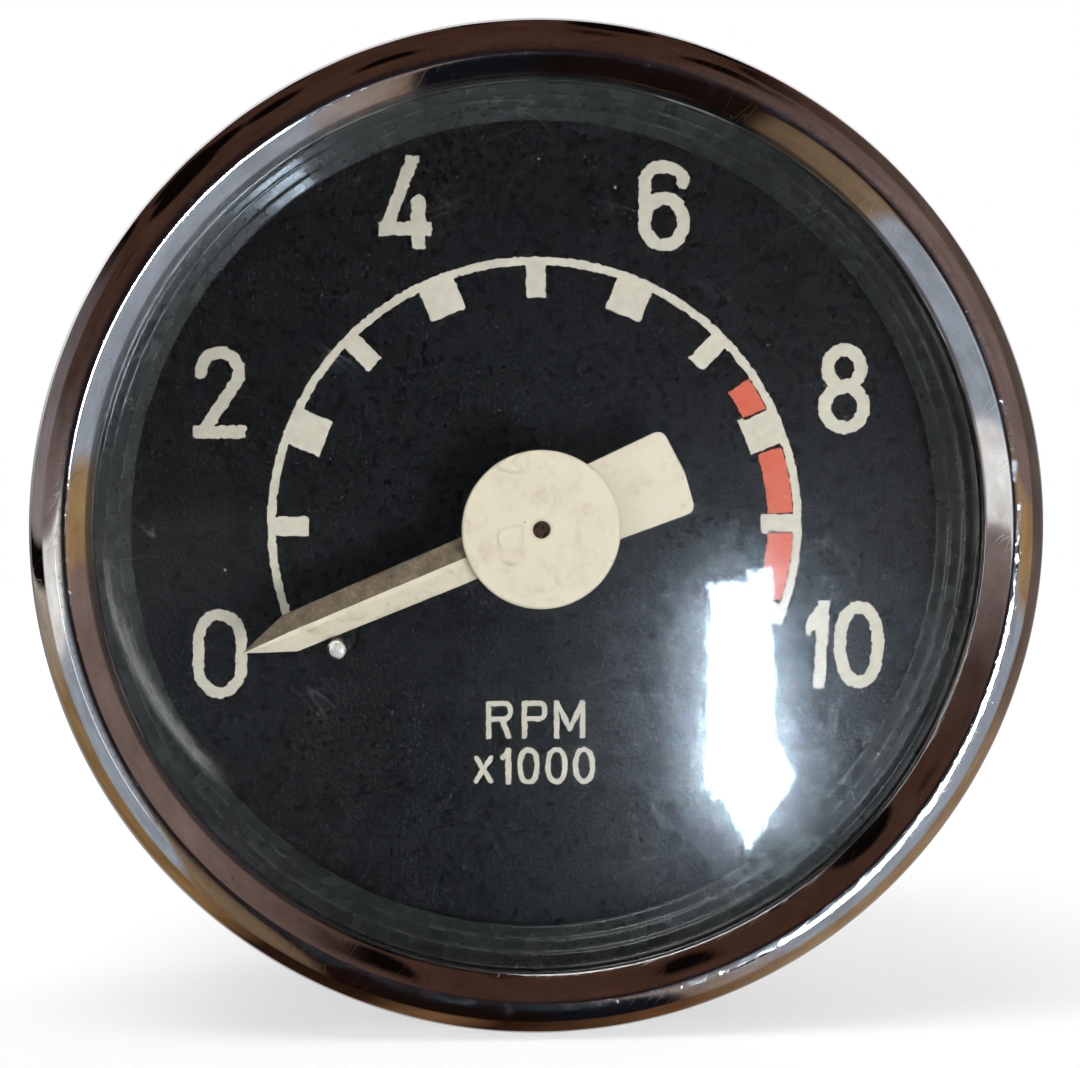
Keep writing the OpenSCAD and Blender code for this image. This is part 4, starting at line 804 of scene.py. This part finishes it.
# Each figure: its middle, its half width and half height, and its strokes
FIGURES = (
    ((-26.99, -10.82), 2.30, 3.82, [  # 0
        stroke([*arc(0, 1.04, 1.82, 2.3, 0, 180, 24), *arc(0, -1.04, 1.82, 2.3, 180, 360, 24),
                (1.82, 1.04)], 0.95)]),
    ((-26.90, 11.39), 2.22, 3.90, [  # 2
        stroke([*arc(0.06, 1.73, 1.61, 1.64, 180, -28, 24), (-1.41, -3.35)], 1.05),
        stroke([(-3, -3.35), (3, -3.35)], 1.08)]),
    ((-11.07, 27.48), 2.25, 3.93, [  # 4
        stroke([(0.9, 4.5), (-1.69, -2.2)], 1.1), stroke([(-3, -2.23), (3, -2.23)], 1.13),
        stroke([(1.08, 0.14), (1.08, -5)], 1.2)]),
    ((10.96, 27.22), 2.22, 3.85, [  # 6
        loop(0, -1.37, 1.66, 1.98, 1.1), stroke([(-1.65, -1.37), (-1.65, 2.08)], 1.1),
        stroke(arc(0, 2.08, 1.65, 1.24, 180, -8, 20), 1.06)]),
    ((26.54, 11.60), 2.22, 3.90, [  # 8
        loop(0, 1.77, 1.44, 1.56, 1.12), loop(0, -1.60, 1.67, 1.76, 1.12)]),
    ((26.71, -10.47), 3.41, 3.77, [  # 10
        stroke([(-1.79, 4.5), (-2.26, -4.5)], 1.0), stroke([(-1.75, 3.4), (-3.35, 1.28)], 1.0),
        loop(1.22, 0, 1.65, 3.22, 1.07, 2.2)]),
)
cream_ink = ink("cream_ink", (0.60, 0.575, 0.47), (0.50, 0.47, 0.375))
shape = bmesh.new()
for centre, half_w, half_h, strokes in FIGURES:
    print_ink(shape, strokes, centre, half_w, half_h)


def moved(strokes, x0, y0):
    """Strokes that are given in the dial's own millimetres, for a box whose middle is at x0, y0."""
    return [lambda x, y, s=s: s(x + x0, y + y0) for s in strokes]


# Unit lines: thin letters and noughts
FINE_PITCH, FINE_ROUGH = 0.045, 0.5
TOP, FOOT = -15.10, -18.35
unit_strokes = [
    stroke([(-4.06, TOP - 0.22), (-4.06, -19)], 0.44), stroke([(-0.99, TOP - 0.22), (-0.99, -19)], 0.46),
    stroke([(1.78, TOP - 0.2), (1.78, -19)], 0.43), stroke([(4.03, TOP - 0.2), (4.03, -19)], 0.45),
    stroke([(-4.06, -15.33), *arc(-2.66, -15.99, 0.50, 0.66, 90, -90, 12), (-4.06, -16.65)], 0.43),
    stroke([(-2.93, -16.65), (-2.20, -18.6)], 0.46),
    stroke([(-0.99, -15.33), *arc(0.28, -15.99, 0.52, 0.66, 90, -90, 12), (-0.99, -16.65)], 0.43),
    stroke([(1.80, -15.25), (2.93, -17.55), (4.02, -15.25)], 0.44),
]
TOP_LINE_Y = (TOP + FOOT) / 2
print_ink(shape, moved(unit_strokes, 0, TOP_LINE_Y), (0, TOP_LINE_Y),
          4.6, (TOP - FOOT) / 2, FINE_PITCH, FINE_ROUGH)
LOW_LINE_Y = -20.72
low_strokes = [
    stroke([(-2.37, -19.4), (-2.37, -22.9)], 0.50), stroke([(-2.40, -19.47), (-2.84, -19.95)], 0.44),
    stroke([(-5.14, -19.95), (-3.90, -21.98)], 0.40), stroke([(-3.84, -19.95), (-5.16, -21.98)], 0.40),
    *[loop(x, LOW_LINE_Y, 0.73, 1.37, 0.44, 2.3) for x in (-0.63, 1.78, 4.16)],
]
print_ink(shape, moved(low_strokes, 0, LOW_LINE_Y), (0, LOW_LINE_Y), 5.5, 1.59, FINE_PITCH, FINE_ROUGH)


def scale_arc(x, y):
    """The arc with its marks: broad at the even thousands, narrow between, and half ones at the ends."""
    r, angle = np.hypot(x, y), np.degrees(np.arctan2(y, x))
    turned = (ZERO_ANGLE - angle + 90) % 360 - 90
    past_ends = np.maximum(-turned, turned - SWEEP) * math.pi / 180 * r
    band = np.maximum(np.abs(r - ARC_MID_R) - ARC_HALF, past_ends)
    for v in range(11):
        a = math.radians(ZERO_ANGLE - THOUSAND_ANGLE * v)
        along, across = x * math.cos(a) + y * math.sin(a), -x * math.sin(a) + y * math.cos(a)
        half = EVEN_HALF if v % 2 == 0 else ODD_HALF
        if v in (0, 10):
            half = ZERO_HALF if v == 0 else TEN_HALF
            across = across + (half if v == 0 else -half)
        past_tips = np.maximum(MARK_IN_R - along, along - ARC_MID_R)
        band = np.minimum(band, np.maximum(past_tips, np.abs(across) - half))
    return band


print_ink(shape, [scale_arc], (0, 0), 23.4, 23.4, 0.08, 0.8)
for x, y in SPECKS:
    print_ink(shape, [stroke([(0, 0), (0.02, 0.0)], 0.24)], (x, y), 0.4, 0.4, 0.04)
finish_piece("scale_ink", shape, "case", "ink_cream", cream_ink, "scale_print", sharp=60)

red_ink = ink("red_ink", (0.60, 0.105, 0.045), (0.48, 0.075, 0.030))
RED_BLOCKS = ((34.2, 26.2), (17.4, 2.5), (-1.8, -17.4))
RED_IN_R = 20.0
RED_OUT_R = 22.15


def red_blocks(x, y):
    """Three blocks under the arc, cut off square at the marks."""
    r, angle = np.hypot(x, y), np.degrees(np.arctan2(y, x))
    field = np.full(x.shape, 1e9)
    for high, low in RED_BLOCKS:
        sides = np.maximum(angle - high, low - angle) * math.pi / 180 * r
        field = np.minimum(field, np.maximum(np.maximum(RED_IN_R - r, r - RED_OUT_R), sides))
    return field


shape = bmesh.new()
RED_X, RED_Y = 19.5, 3.0
print_ink(shape, moved([red_blocks], RED_X, RED_Y), (RED_X, RED_Y), 3.4, 10.6, 0.07, 0.7)
finish_piece("red_zone_ink", shape, "case", "ink_red", red_ink, "red_zone_print", sharp=60)

# Pointer: stamped from sheet aluminium with a roof-shaped ridge on its blade, riveted on
# a brass bush and enamelled ivory. A round cap covers the hub, and the spindle shows in it.
brass.on(nodes["pointer_bush"])
ivory = Finish("ivory_enamel", Coat_Weight=0.8, Coat_Roughness=0.07)
soil = ivory.steps(ivory.grain(520.0, 6.0, 0.75), (0.52, 0.0), (0.80, 1.0))
chip = ivory.times(ivory.steps(ivory.cells(900.0), (0.05, 1.0), (0.075, 0.0)),
                   ivory.steps(ivory.grain(240.0, 2.0), (0.56, 0.0), (0.60, 1.0)))
paint = ivory.steps(ivory.grain(160.0, 3.0), (0.3, (0.675, 0.62, 0.485)), (0.7, (0.62, 0.56, 0.42)))
ivory.give("Base Color", ivory.mix(chip, ivory.mix(soil, paint, (0.50, 0.42, 0.28)), (0.16, 0.10, 0.06)))
ivory.give("Roughness", ivory.steps(ivory.grain(700.0, 4.0), (0.3, 0.24), (0.7, 0.42)))
drops = ivory.steps(ivory.grain(330.0, 1.0), (0.62, 0.0), (0.68, 1.0))
ivory.give("Normal", ivory.relief(ivory.grain(1300.0, 3.0), 1.0e-5, 0.5, under=ivory.relief(
    chip, -2.5e-5, 0.8, under=ivory.relief(drops, 1.5e-4))))
# The facets that face up are painted brown: partly browned enamel, crazed and stippled, and partly painted
# shade, as these facets face away from the light.
browned_and_shaded_ivory = Finish("browned_and_shaded_enamel", Coat_Weight=0.2, Coat_Roughness=0.2)
craze = browned_and_shaded_ivory.steps(browned_and_shaded_ivory.cells(3200.0), (0.15, 0.0), (0.75, 1.0))
browned_and_shaded_ivory.give("Base Color", browned_and_shaded_ivory.mix(craze, seen_as(84, 72, 54), browned_and_shaded_ivory.steps(
    browned_and_shaded_ivory.grain(900.0, 5.0, 0.7), (0.35, seen_as(60, 50, 38)), (0.70, seen_as(136, 122, 98)))))
browned_and_shaded_ivory.give("Roughness", browned_and_shaded_ivory.steps(browned_and_shaded_ivory.grain(800.0), (0.3, 0.35), (0.7, 0.55)))
browned_and_shaded_ivory.give("Normal", browned_and_shaded_ivory.relief(craze, 2e-5, 0.7))
POINTER_Z = 47.2
POINTER_ANGLE = math.radians(202.5)
SHEET = 0.6
RIDGE_Z = 1.1
TAIL_R = 13.1
TAIL_HALF = 3.75
TAIL_CORNER = 0.6
TAIL_BULGE = 0.45
# Stations along the pointer: place, half width, height at the edge, height in the middle
corner = [(TAIL_CORNER * (1 - math.cos(math.radians(a))), TAIL_CORNER * (1 - math.sin(math.radians(a))))
          for a in (0, 22.5, 45, 67.5, 90)]
stations = [(-TAIL_R + back, TAIL_HALF - narrower, SHEET, SHEET) for back, narrower in corner]
stations += [(-6.0, 3.47, SHEET, SHEET), (-1.0, 3.24, SHEET, SHEET), (0.6, 3.1, SHEET, SHEET),
             (2.0, 1.92, 0.5, 0.8), (3.8, 1.90, 0.38, RIDGE_Z), (10.0, 1.85, 0.36, RIDGE_Z),
             (22.8, 1.65, 0.34, 1.0), (25.2, 0.75, 0.34, 0.72), (26.6, 0.20, 0.30, 0.45),
             (27.0, 0.05, 0.28, 0.32)]
shape = bmesh.new()
rings = []
for x, w, h, top in stations:
    b = min(0.09, 0.3 * w)
    bulge = TAIL_BULGE if x < -10 else 0.0
    eaves, ridge = h + (top - h) * 0.04, top - 0.02
    section = [(-w + b, 0), (w - b, 0), (w, b), (w, h - b), (w - b, eaves), (0.12 * w, ridge),
               (-0.12 * w, ridge), (-w + b, eaves), (-w, h - b), (-w, b)]
    ring = []
    for y, z in section:
        along = x + bulge * (y / TAIL_HALF) ** 2
        ring.append(shape.verts.new(on_arm(along, y, POINTER_Z + z, POINTER_ANGLE)))
    rings.append(ring)
for low, high in zip(rings, rings[1:]):
    for i in range(len(low)):
        j = (i + 1) % len(low)
        shape.faces.new((low[i], low[j], high[j], high[i]))
shape.faces.new(rings[0])
shape.faces.new(rings[-1])
blade = finish_piece("pointer_roofed_blade", shape, "pointer", "pointer_cream", ivory,
                     "pointer_blade", sharp=18)
# The blade's facets that face up get the brown enamel, with its painted shade.
blade.data.materials.append(browned_and_shaded_ivory.material)
for facet in blade.data.polygons:
    along = facet.center.x * math.cos(POINTER_ANGLE) + facet.center.z * math.sin(POINTER_ANGLE)
    if along > 0.0025 and facet.normal.z > 0.15:
        facet.material_index = 1
CAP_R, CAP_BORE = 6.7, 0.75
CAP_LOW_Z, CAP_TOP_Z = 48.3, 49.5
shape = bmesh.new()
turn_on_lathe(shape, [
    (CAP_BORE, CAP_LOW_Z), (CAP_R - 0.15, CAP_LOW_Z), (CAP_R, CAP_LOW_Z + 0.15), (CAP_R, 49.2),
    *arc(CAP_R - 0.28, 49.2, 0.28, 0.24, 15, 90, 6), (4.0, CAP_TOP_Z - 0.03), (1.1, CAP_TOP_Z),
    (0.85, CAP_TOP_Z - 0.04), (CAP_BORE, CAP_TOP_Z - 0.14)], parts=160)
finish_piece("pointer_turned_cap", shape, "pointer", "pointer_cream", ivory, "pointer_cap", sharp=50)

# Trim ring: a pressed ring in three steps between glass and dial, clamped under the glass
# by its flange. It is enamelled a greenish black, half glossy.
ring_enamel = Finish("trim_enamel", Coat_Weight=1.0, Coat_Roughness=0.05, Coat_IOR=1.7)
ring_enamel.give("Roughness", ring_enamel.steps(ring_enamel.grain(600.0, 4.0), (0.3, 0.20), (0.7, 0.34)))
ring_enamel.give("Normal", ring_enamel.relief(ring_enamel.grain(2600.0, 2.0), 3e-6, 0.6))
RING_R = 37.5
RING_STEP_W = 3.1 / 3
RING_STEP_H = 0.9
RING_TOP_Z = 46.8
# The rounded step edges are painted lighter: partly rubbed enamel, partly a painted highlight where the
# edges catch the light.
from_edge = ring_enamel.reckon("DIVIDE", ring_enamel.minus(RING_R / 1000, ring_enamel.from_axis()),
                               RING_STEP_W / 1000)
edge = ring_enamel.steps(ring_enamel.reckon("FRACT", from_edge),
                         (0.0, 1.0), (0.10, 0.6), (0.22, 0.0), (0.90, 0.0), (1.0, 0.7))
# Patches that break up the lighter edge lines, for the rubbed enamel and the painted highlight alike.
worn = ring_enamel.steps(ring_enamel.grain(80.0, 2.0), (0.35, 0.4), (0.65, 1.0))
green_black = ring_enamel.steps(
    ring_enamel.grain(420.0, 4.0), (0.3, (0.005, 0.008, 0.007)), (0.7, (0.010, 0.014, 0.012)))
ring_enamel.give("Base Color", ring_enamel.mix(
    ring_enamel.times(edge, worn), green_black, (0.045, 0.053, 0.048)))
ring_profile = [(38.6, 46.0), (41.6, 46.0), (41.6, RING_TOP_Z), (RING_R, RING_TOP_Z)]
for i in range(3):
    ring_profile += [(RING_R - i * RING_STEP_W, RING_TOP_Z - (i + 0.6) * RING_STEP_H),
                     (RING_R - (i + 1) * RING_STEP_W, RING_TOP_Z - (i + 1) * RING_STEP_H)]
ring_profile += [(34.4, 43.3), (35.2, 43.3)]
shape = bmesh.new()
turn_on_lathe(shape, soften(ring_profile, 0.20, 6), parts=288)
finish_piece("stepped_trim_ring", shape, "case", "ring_black", ring_enamel, "trim_ring", sharp=70)

# Glass: a domed disc of clear glass with a flat flange, on a rubber gasket. It is bright,
# with fine scratches, wiping streaks and a little dust.
rubber = Finish("black_rubber", Roughness=0.8)
rubber.give("Base Color", rubber.steps(
    rubber.grain(900.0, 4.0), (0.3, (0.012, 0.012, 0.012)), (0.7, (0.03, 0.03, 0.029))))
rubber.give("Normal", rubber.relief(rubber.grain(2400.0, 3.0), 3e-5, 0.7))
rubber.on(nodes["lens_gasket"])
GLASS_R = 41.2
FLANGE_LOW_Z = 47.8
FLANGE_TOP_Z = 49.8
DOME_R = 37.4
DOME_SPHERE_R = 125.55
DOME_CENTRE_Z = -70.05
GLASS_T = 2.0
glass = Finish("domed_glass", Roughness=0.0, IOR=1.49, Transmission_Weight=1.0, Coat_Roughness=0.17,
               Coat_IOR=1.25)
hair_along = glass.grain(420.0, 0.0, where=glass.place((1, 1, 0.02), (0, 0.75, 0)))
hair_across = glass.grain(380.0, 0.0, where=glass.place((0.02, 1, 1), (0, 0.35, 0)))
hair = glass.reckon("MINIMUM", *[
    glass.reckon("ABSOLUTE", glass.minus(line, 0.5)) for line in (hair_along, hair_across)])
hair = glass.steps(hair, (0.0, 1.0), (0.006, 0.0))
scratch = glass.times(hair, glass.steps(glass.grain(130.0, 2.0), (0.60, 0.0), (0.68, 1.0)))
glass.give("Roughness", glass.times(scratch, 0.25))
wipe = glass.grain(1500.0, 3.0, 0.7, where=glass.place((1, 1, 0.22), (0, -0.8, 0)))
glass.give("Normal", glass.relief(wipe, 1.6e-6, under=glass.relief(glass.grain(260.0, 2.0), 3e-6)))
wiped_along = glass.grain(3000.0, 2.0, 0.6, where=glass.place((1, 1, 0.07), (0, 0.75, 0)))
wiped_across = glass.grain(3000.0, 2.0, 0.6, where=glass.place((0.07, 1, 1), (0, 0.25, 0)))
wiped_glass = glass.larger(glass.larger(wiped_along, wiped_across), glass.grain(3300.0, 1.0))
glass.give("Coat Normal", glass.relief(wiped_glass, 1.3e-5))
glass.give("Coat Weight", glass.steps(wiped_glass, (0.48, 0.35), (0.66, 1.0)))
clear = glass.node("ShaderNodeBsdfTransparent", {"Color": (0.97, 0.965, 0.95)})
dust = glass.node("ShaderNodeBsdfDiffuse", {"Color": (0.62, 0.68, 0.78)})
haze = glass.steps(glass.grain(210.0, 6.0, 0.8), (0.45, 0.0), (0.80, 0.002))
dusty = glass.node("ShaderNodeMixShader", {0: glass.plus(haze, glass.times(scratch, 0.04))})
glass.links.new(glass.shader.outputs[0], dusty.inputs[1])
glass.links.new(dust.outputs[0], dusty.inputs[2])
glass.show(glass.seen("Is Shadow Ray"), dusty.outputs[0], clear.outputs[0])


def dome(sphere_r, from_r, count):
    """A dome's section, from its edge to the middle."""
    radii = [from_r * math.sin(math.pi / 2 * (1 - i / count)) for i in range(count)]
    curve = [(r, DOME_CENTRE_Z + math.sqrt(sphere_r ** 2 - r * r)) for r in radii]
    return [*curve, (0, DOME_CENTRE_Z + sphere_r)]


inner_r = math.sqrt((DOME_SPHERE_R - GLASS_T) ** 2 - (FLANGE_LOW_Z - DOME_CENTRE_Z) ** 2)
shape = bmesh.new()
turn_on_lathe(shape, [
    (GLASS_R - 0.2, FLANGE_LOW_Z), (GLASS_R, FLANGE_LOW_Z + 0.2), (GLASS_R, FLANGE_TOP_Z - 0.2),
    (GLASS_R - 0.2, FLANGE_TOP_Z), (DOME_R + 0.12, FLANGE_TOP_Z), *dome(DOME_SPHERE_R, DOME_R, 40),
    *dome(DOME_SPHERE_R - GLASS_T, inner_r, 40)[::-1]], parts=256)
finish_piece("domed_lens", shape, "case", "lens_glass", glass, "lens", sharp=20)

# Bezel: spun from sheet brass, chrome-plated and rolled over the case flange behind. The
# plating is bright, with small pits, fine wiping scratches and some dull spots.
RUBBED_CREST_R = 0.0403
chrome = Finish("pitted_chrome", Metallic=1.0)
pits = chrome.times(chrome.steps(chrome.cells(760.0), (0.03, 1.0), (0.07, 0.0)),
                    chrome.steps(chrome.grain(130.0, 3.0), (0.54, 0.0), (0.62, 1.0)))
dull = chrome.steps(chrome.grain(330.0, 6.0, 0.8), (0.55, 0.0), (0.80, 1.0))
wiping = chrome.grain(120.0, 2.0, where=chrome.place((1, 1, 5), (0, 0.9, 0)))
wiped = chrome.steps(chrome.reckon("ABSOLUTE", chrome.minus(wiping, 0.5)), (0.0, 1.0), (0.006, 0.0))
from_crest = chrome.reckon("ABSOLUTE", chrome.minus(chrome.from_axis(), RUBBED_CREST_R))
rubbing = chrome.grain(900.0, 5.0, 0.75, where=chrome.place((1, 1, 1), (0, 0.4, 0)))
rubbed_crest = chrome.times(chrome.steps(chrome.times(from_crest, 1000.0), (0.15, 1.0), (0.75, 0.0)),
                            chrome.steps(rubbing, (0.48, 0.0), (0.62, 1.0)))
dull = chrome.larger(dull, rubbed_crest)
plating = chrome.mix(dull, (0.82, 0.81, 0.80), (0.62, 0.60, 0.57))
chrome.give("Base Color", chrome.mix(pits, plating, (0.10, 0.07, 0.05)))
chrome.give("Roughness", chrome.plus(chrome.steps(dull, (0.0, 0.045), (1.0, 0.15)),
                                     chrome.plus(chrome.times(pits, 0.4), chrome.times(wiped, 0.08))))
chrome.give("Normal", chrome.relief(chrome.plus(pits, chrome.times(wiped, 0.1)), -1.5e-5, 0.8,
                                    under=chrome.relief(chrome.grain(75.0, 2.0), 4e-5, 0.35)))
LIP_R, LIP_LOW_Z, LIP_TOP_Z = 37.6, 49.8, 51.0
CREST_R, CREST_ROLL_Z, CREST_ROLL = 40.0, 51.6, 0.8
SHOULDER_Z, SHOULDER_W, SHOULDER_H = 48.9, 3, 3.5
BEZEL_R, BEZEL_T = 43.0, 0.8
CRIMP_R, CRIMP_Z = 40.9, 44.0
shape = bmesh.new()
turn_on_lathe(shape, [
    (LIP_R, LIP_LOW_Z + 0.08), (LIP_R, LIP_TOP_Z - 0.12), (LIP_R + 0.10, LIP_TOP_Z + 0.06),
    *arc(CREST_R, CREST_ROLL_Z, CREST_ROLL, CREST_ROLL, 120, 90, 8),
    *arc(CREST_R, SHOULDER_Z, SHOULDER_W, SHOULDER_H, 86, 0, 28),
    *arc(BEZEL_R - BEZEL_T, CRIMP_Z + BEZEL_T, BEZEL_T, BEZEL_T, 0, -90, 8), (CRIMP_R + 0.1, CRIMP_Z),
    (CRIMP_R, CRIMP_Z + 0.1), (CRIMP_R, CRIMP_Z + BEZEL_T - 0.1), (CRIMP_R + 0.1, CRIMP_Z + BEZEL_T),
    (BEZEL_R - BEZEL_T, CRIMP_Z + BEZEL_T),
    *arc(CREST_R, SHOULDER_Z, SHOULDER_W - BEZEL_T, SHOULDER_H - BEZEL_T, 0, 90, 14),
    (LIP_R + BEZEL_T, LIP_TOP_Z - 0.2), (LIP_R + BEZEL_T, LIP_LOW_Z + 0.08),
    (LIP_R + 0.6, LIP_LOW_Z), (LIP_R + 0.1, LIP_LOW_Z)], parts=384)
finish_piece("spun_bezel", shape, "case", "bezel_chrome", chrome, "bezel", sharp=40)

# Lamp: a plated holder, pushed from behind through a rubber grommet in the case back. It
# carries a screw-in bulb, and behind an insulator disc the feed and earth terminals.
GROMMET_R, GROMMET_BORE, GROOVE_R = 8.0, 5.54, 6.7
GROMMET_OUT_Z, SHEET_T = 1.6, 1.0
nickel = metal("dull_nickel", (0.60, 0.60, 0.57), (0.44, 0.42, 0.37), 0.33, 700.0, AXIAL_LINES)
shape = bmesh.new()
turn_on_lathe(shape, soften([
    (GROMMET_BORE, -GROMMET_OUT_Z), (GROMMET_R, -GROMMET_OUT_Z), (GROMMET_R, 0.0), (GROOVE_R, 0.0),
    (GROOVE_R, SHEET_T), (GROMMET_R, SHEET_T), (GROMMET_R, SHEET_T + GROMMET_OUT_Z),
    (GROMMET_BORE, SHEET_T + GROMMET_OUT_Z)], 0.45, 4), (0, LAMP_Y), 96)
finish_piece("grommet_ring", shape, "case", "gasket_rubber", rubber, "lamp_grommet", sharp=60)
LAMP_R, LAMP_BORE = 5.5, 4.65
LAMP_BACK_Z, LAMP_FRONT_Z = -8.0, 15.0
BEAD_R, BEAD_Z, BEAD_T = 7.0, -2.44, 0.8
shape = bmesh.new()
turn_on_lathe(shape, [
    (LAMP_BORE, LAMP_BACK_Z + 0.15), (LAMP_BORE + 0.15, LAMP_BACK_Z), (LAMP_R - 0.25, LAMP_BACK_Z),
    (LAMP_R, LAMP_BACK_Z + 0.25), (LAMP_R, BEAD_Z - 0.15), (LAMP_R + 0.15, BEAD_Z),
    *arc(BEAD_R - 0.4, BEAD_Z + BEAD_T / 2, 0.4, BEAD_T / 2, -90, 90, 10), (LAMP_R + 0.02, BEAD_Z + BEAD_T),
    (LAMP_R, BEAD_Z + BEAD_T + 0.02), (LAMP_R, LAMP_FRONT_Z - 0.2), (LAMP_R - 0.2, LAMP_FRONT_Z),
    (LAMP_BORE + 0.1, LAMP_FRONT_Z), (LAMP_BORE, LAMP_FRONT_Z - 0.1)], (0, LAMP_Y), 96)
finish_piece("plated_holder", shape, "lamp", "holder_plated", nickel, "lamp_holder", sharp=50)
board = Finish("resin_board", Roughness=0.5)
board.give("Base Color", board.steps(board.grain(900.0, 5.0, 0.7, where=board.place((1, 6, 1))),
                                     (0.3, (0.16, 0.075, 0.03)), (0.7, (0.30, 0.16, 0.075))))
board.give("Normal", board.relief(board.grain(2600.0), 1.5e-5, 0.6))
board.on(nodes["lamp_insulator"])


def spade(shape, x0, y0, half_w, thickness, back, front, hole_z):
    """A flat push-on terminal with cut-off rear corners and a latch hole."""
    outline = [(-half_w, front), (-half_w, back + 1.0), (-half_w + 0.9, back), (half_w - 0.9, back),
               (half_w, back + 1.0), (half_w, front)]
    hole = arc(0, hole_z, 0.75, 0.75, 0, 345, 23)
    loops = [[Vector((u, w, 0)) for u, w in line] for line in (outline, hole)]
    stamp(shape, loops, lambda p: at(x0 + p.x, y0, p.y), lambda p: at(x0 + p.x, y0 + thickness, p.y))


CONTACT_R, CONTACT_TOP_Z = 1.2, 3.0
SPADE_HALF_W, SPADE_T, SPADE_BACK_Z, SPADE_HOLE_Z = 2.4, 0.8, -15.0, -12.4
shape = bmesh.new()
contact = soften([(CONTACT_R, LAMP_BACK_Z), (CONTACT_R, CONTACT_TOP_Z)], 0.15)[:8]
turn_on_lathe(shape, [(0, LAMP_BACK_Z), *contact, (0, CONTACT_TOP_Z)], (0, LAMP_Y), 40, False)
spade(shape, 0, LAMP_Y - 0.4, SPADE_HALF_W, SPADE_T, SPADE_BACK_Z, LAMP_BACK_Z, SPADE_HOLE_Z)
finish_piece("feed_spade", shape, "lamp", "brass", brass_sheet, "lamp_feed_terminal", sharp=40)
shape = bmesh.new()
spade(shape, 0, LAMP_Y + LAMP_R, SPADE_HALF_W, SPADE_T, SPADE_BACK_Z, -2.74, SPADE_HOLE_Z)
finish_piece("earth_spade", shape, "lamp", "holder_plated", nickel, "lamp_earth_terminal", sharp=40)
brass.on(nodes["bulb_base"])
thin_glass = Finish("bulb_glass", IOR=1.45, Transmission_Weight=1.0)
thin_glass.give("Roughness", thin_glass.steps(thin_glass.grain(600.0), (0.4, 0.0), (0.8, 0.08)))
thin_glass.give("Normal", thin_glass.relief(thin_glass.grain(300.0), 2e-6, 0.4))
thin_glass.on(nodes["bulb_glass"])
tungsten = metal("drawn_wire", (0.45, 0.45, 0.44), (0.30, 0.29, 0.28), 0.38, 4000.0)
tungsten.on(nodes["bulb_filament"])
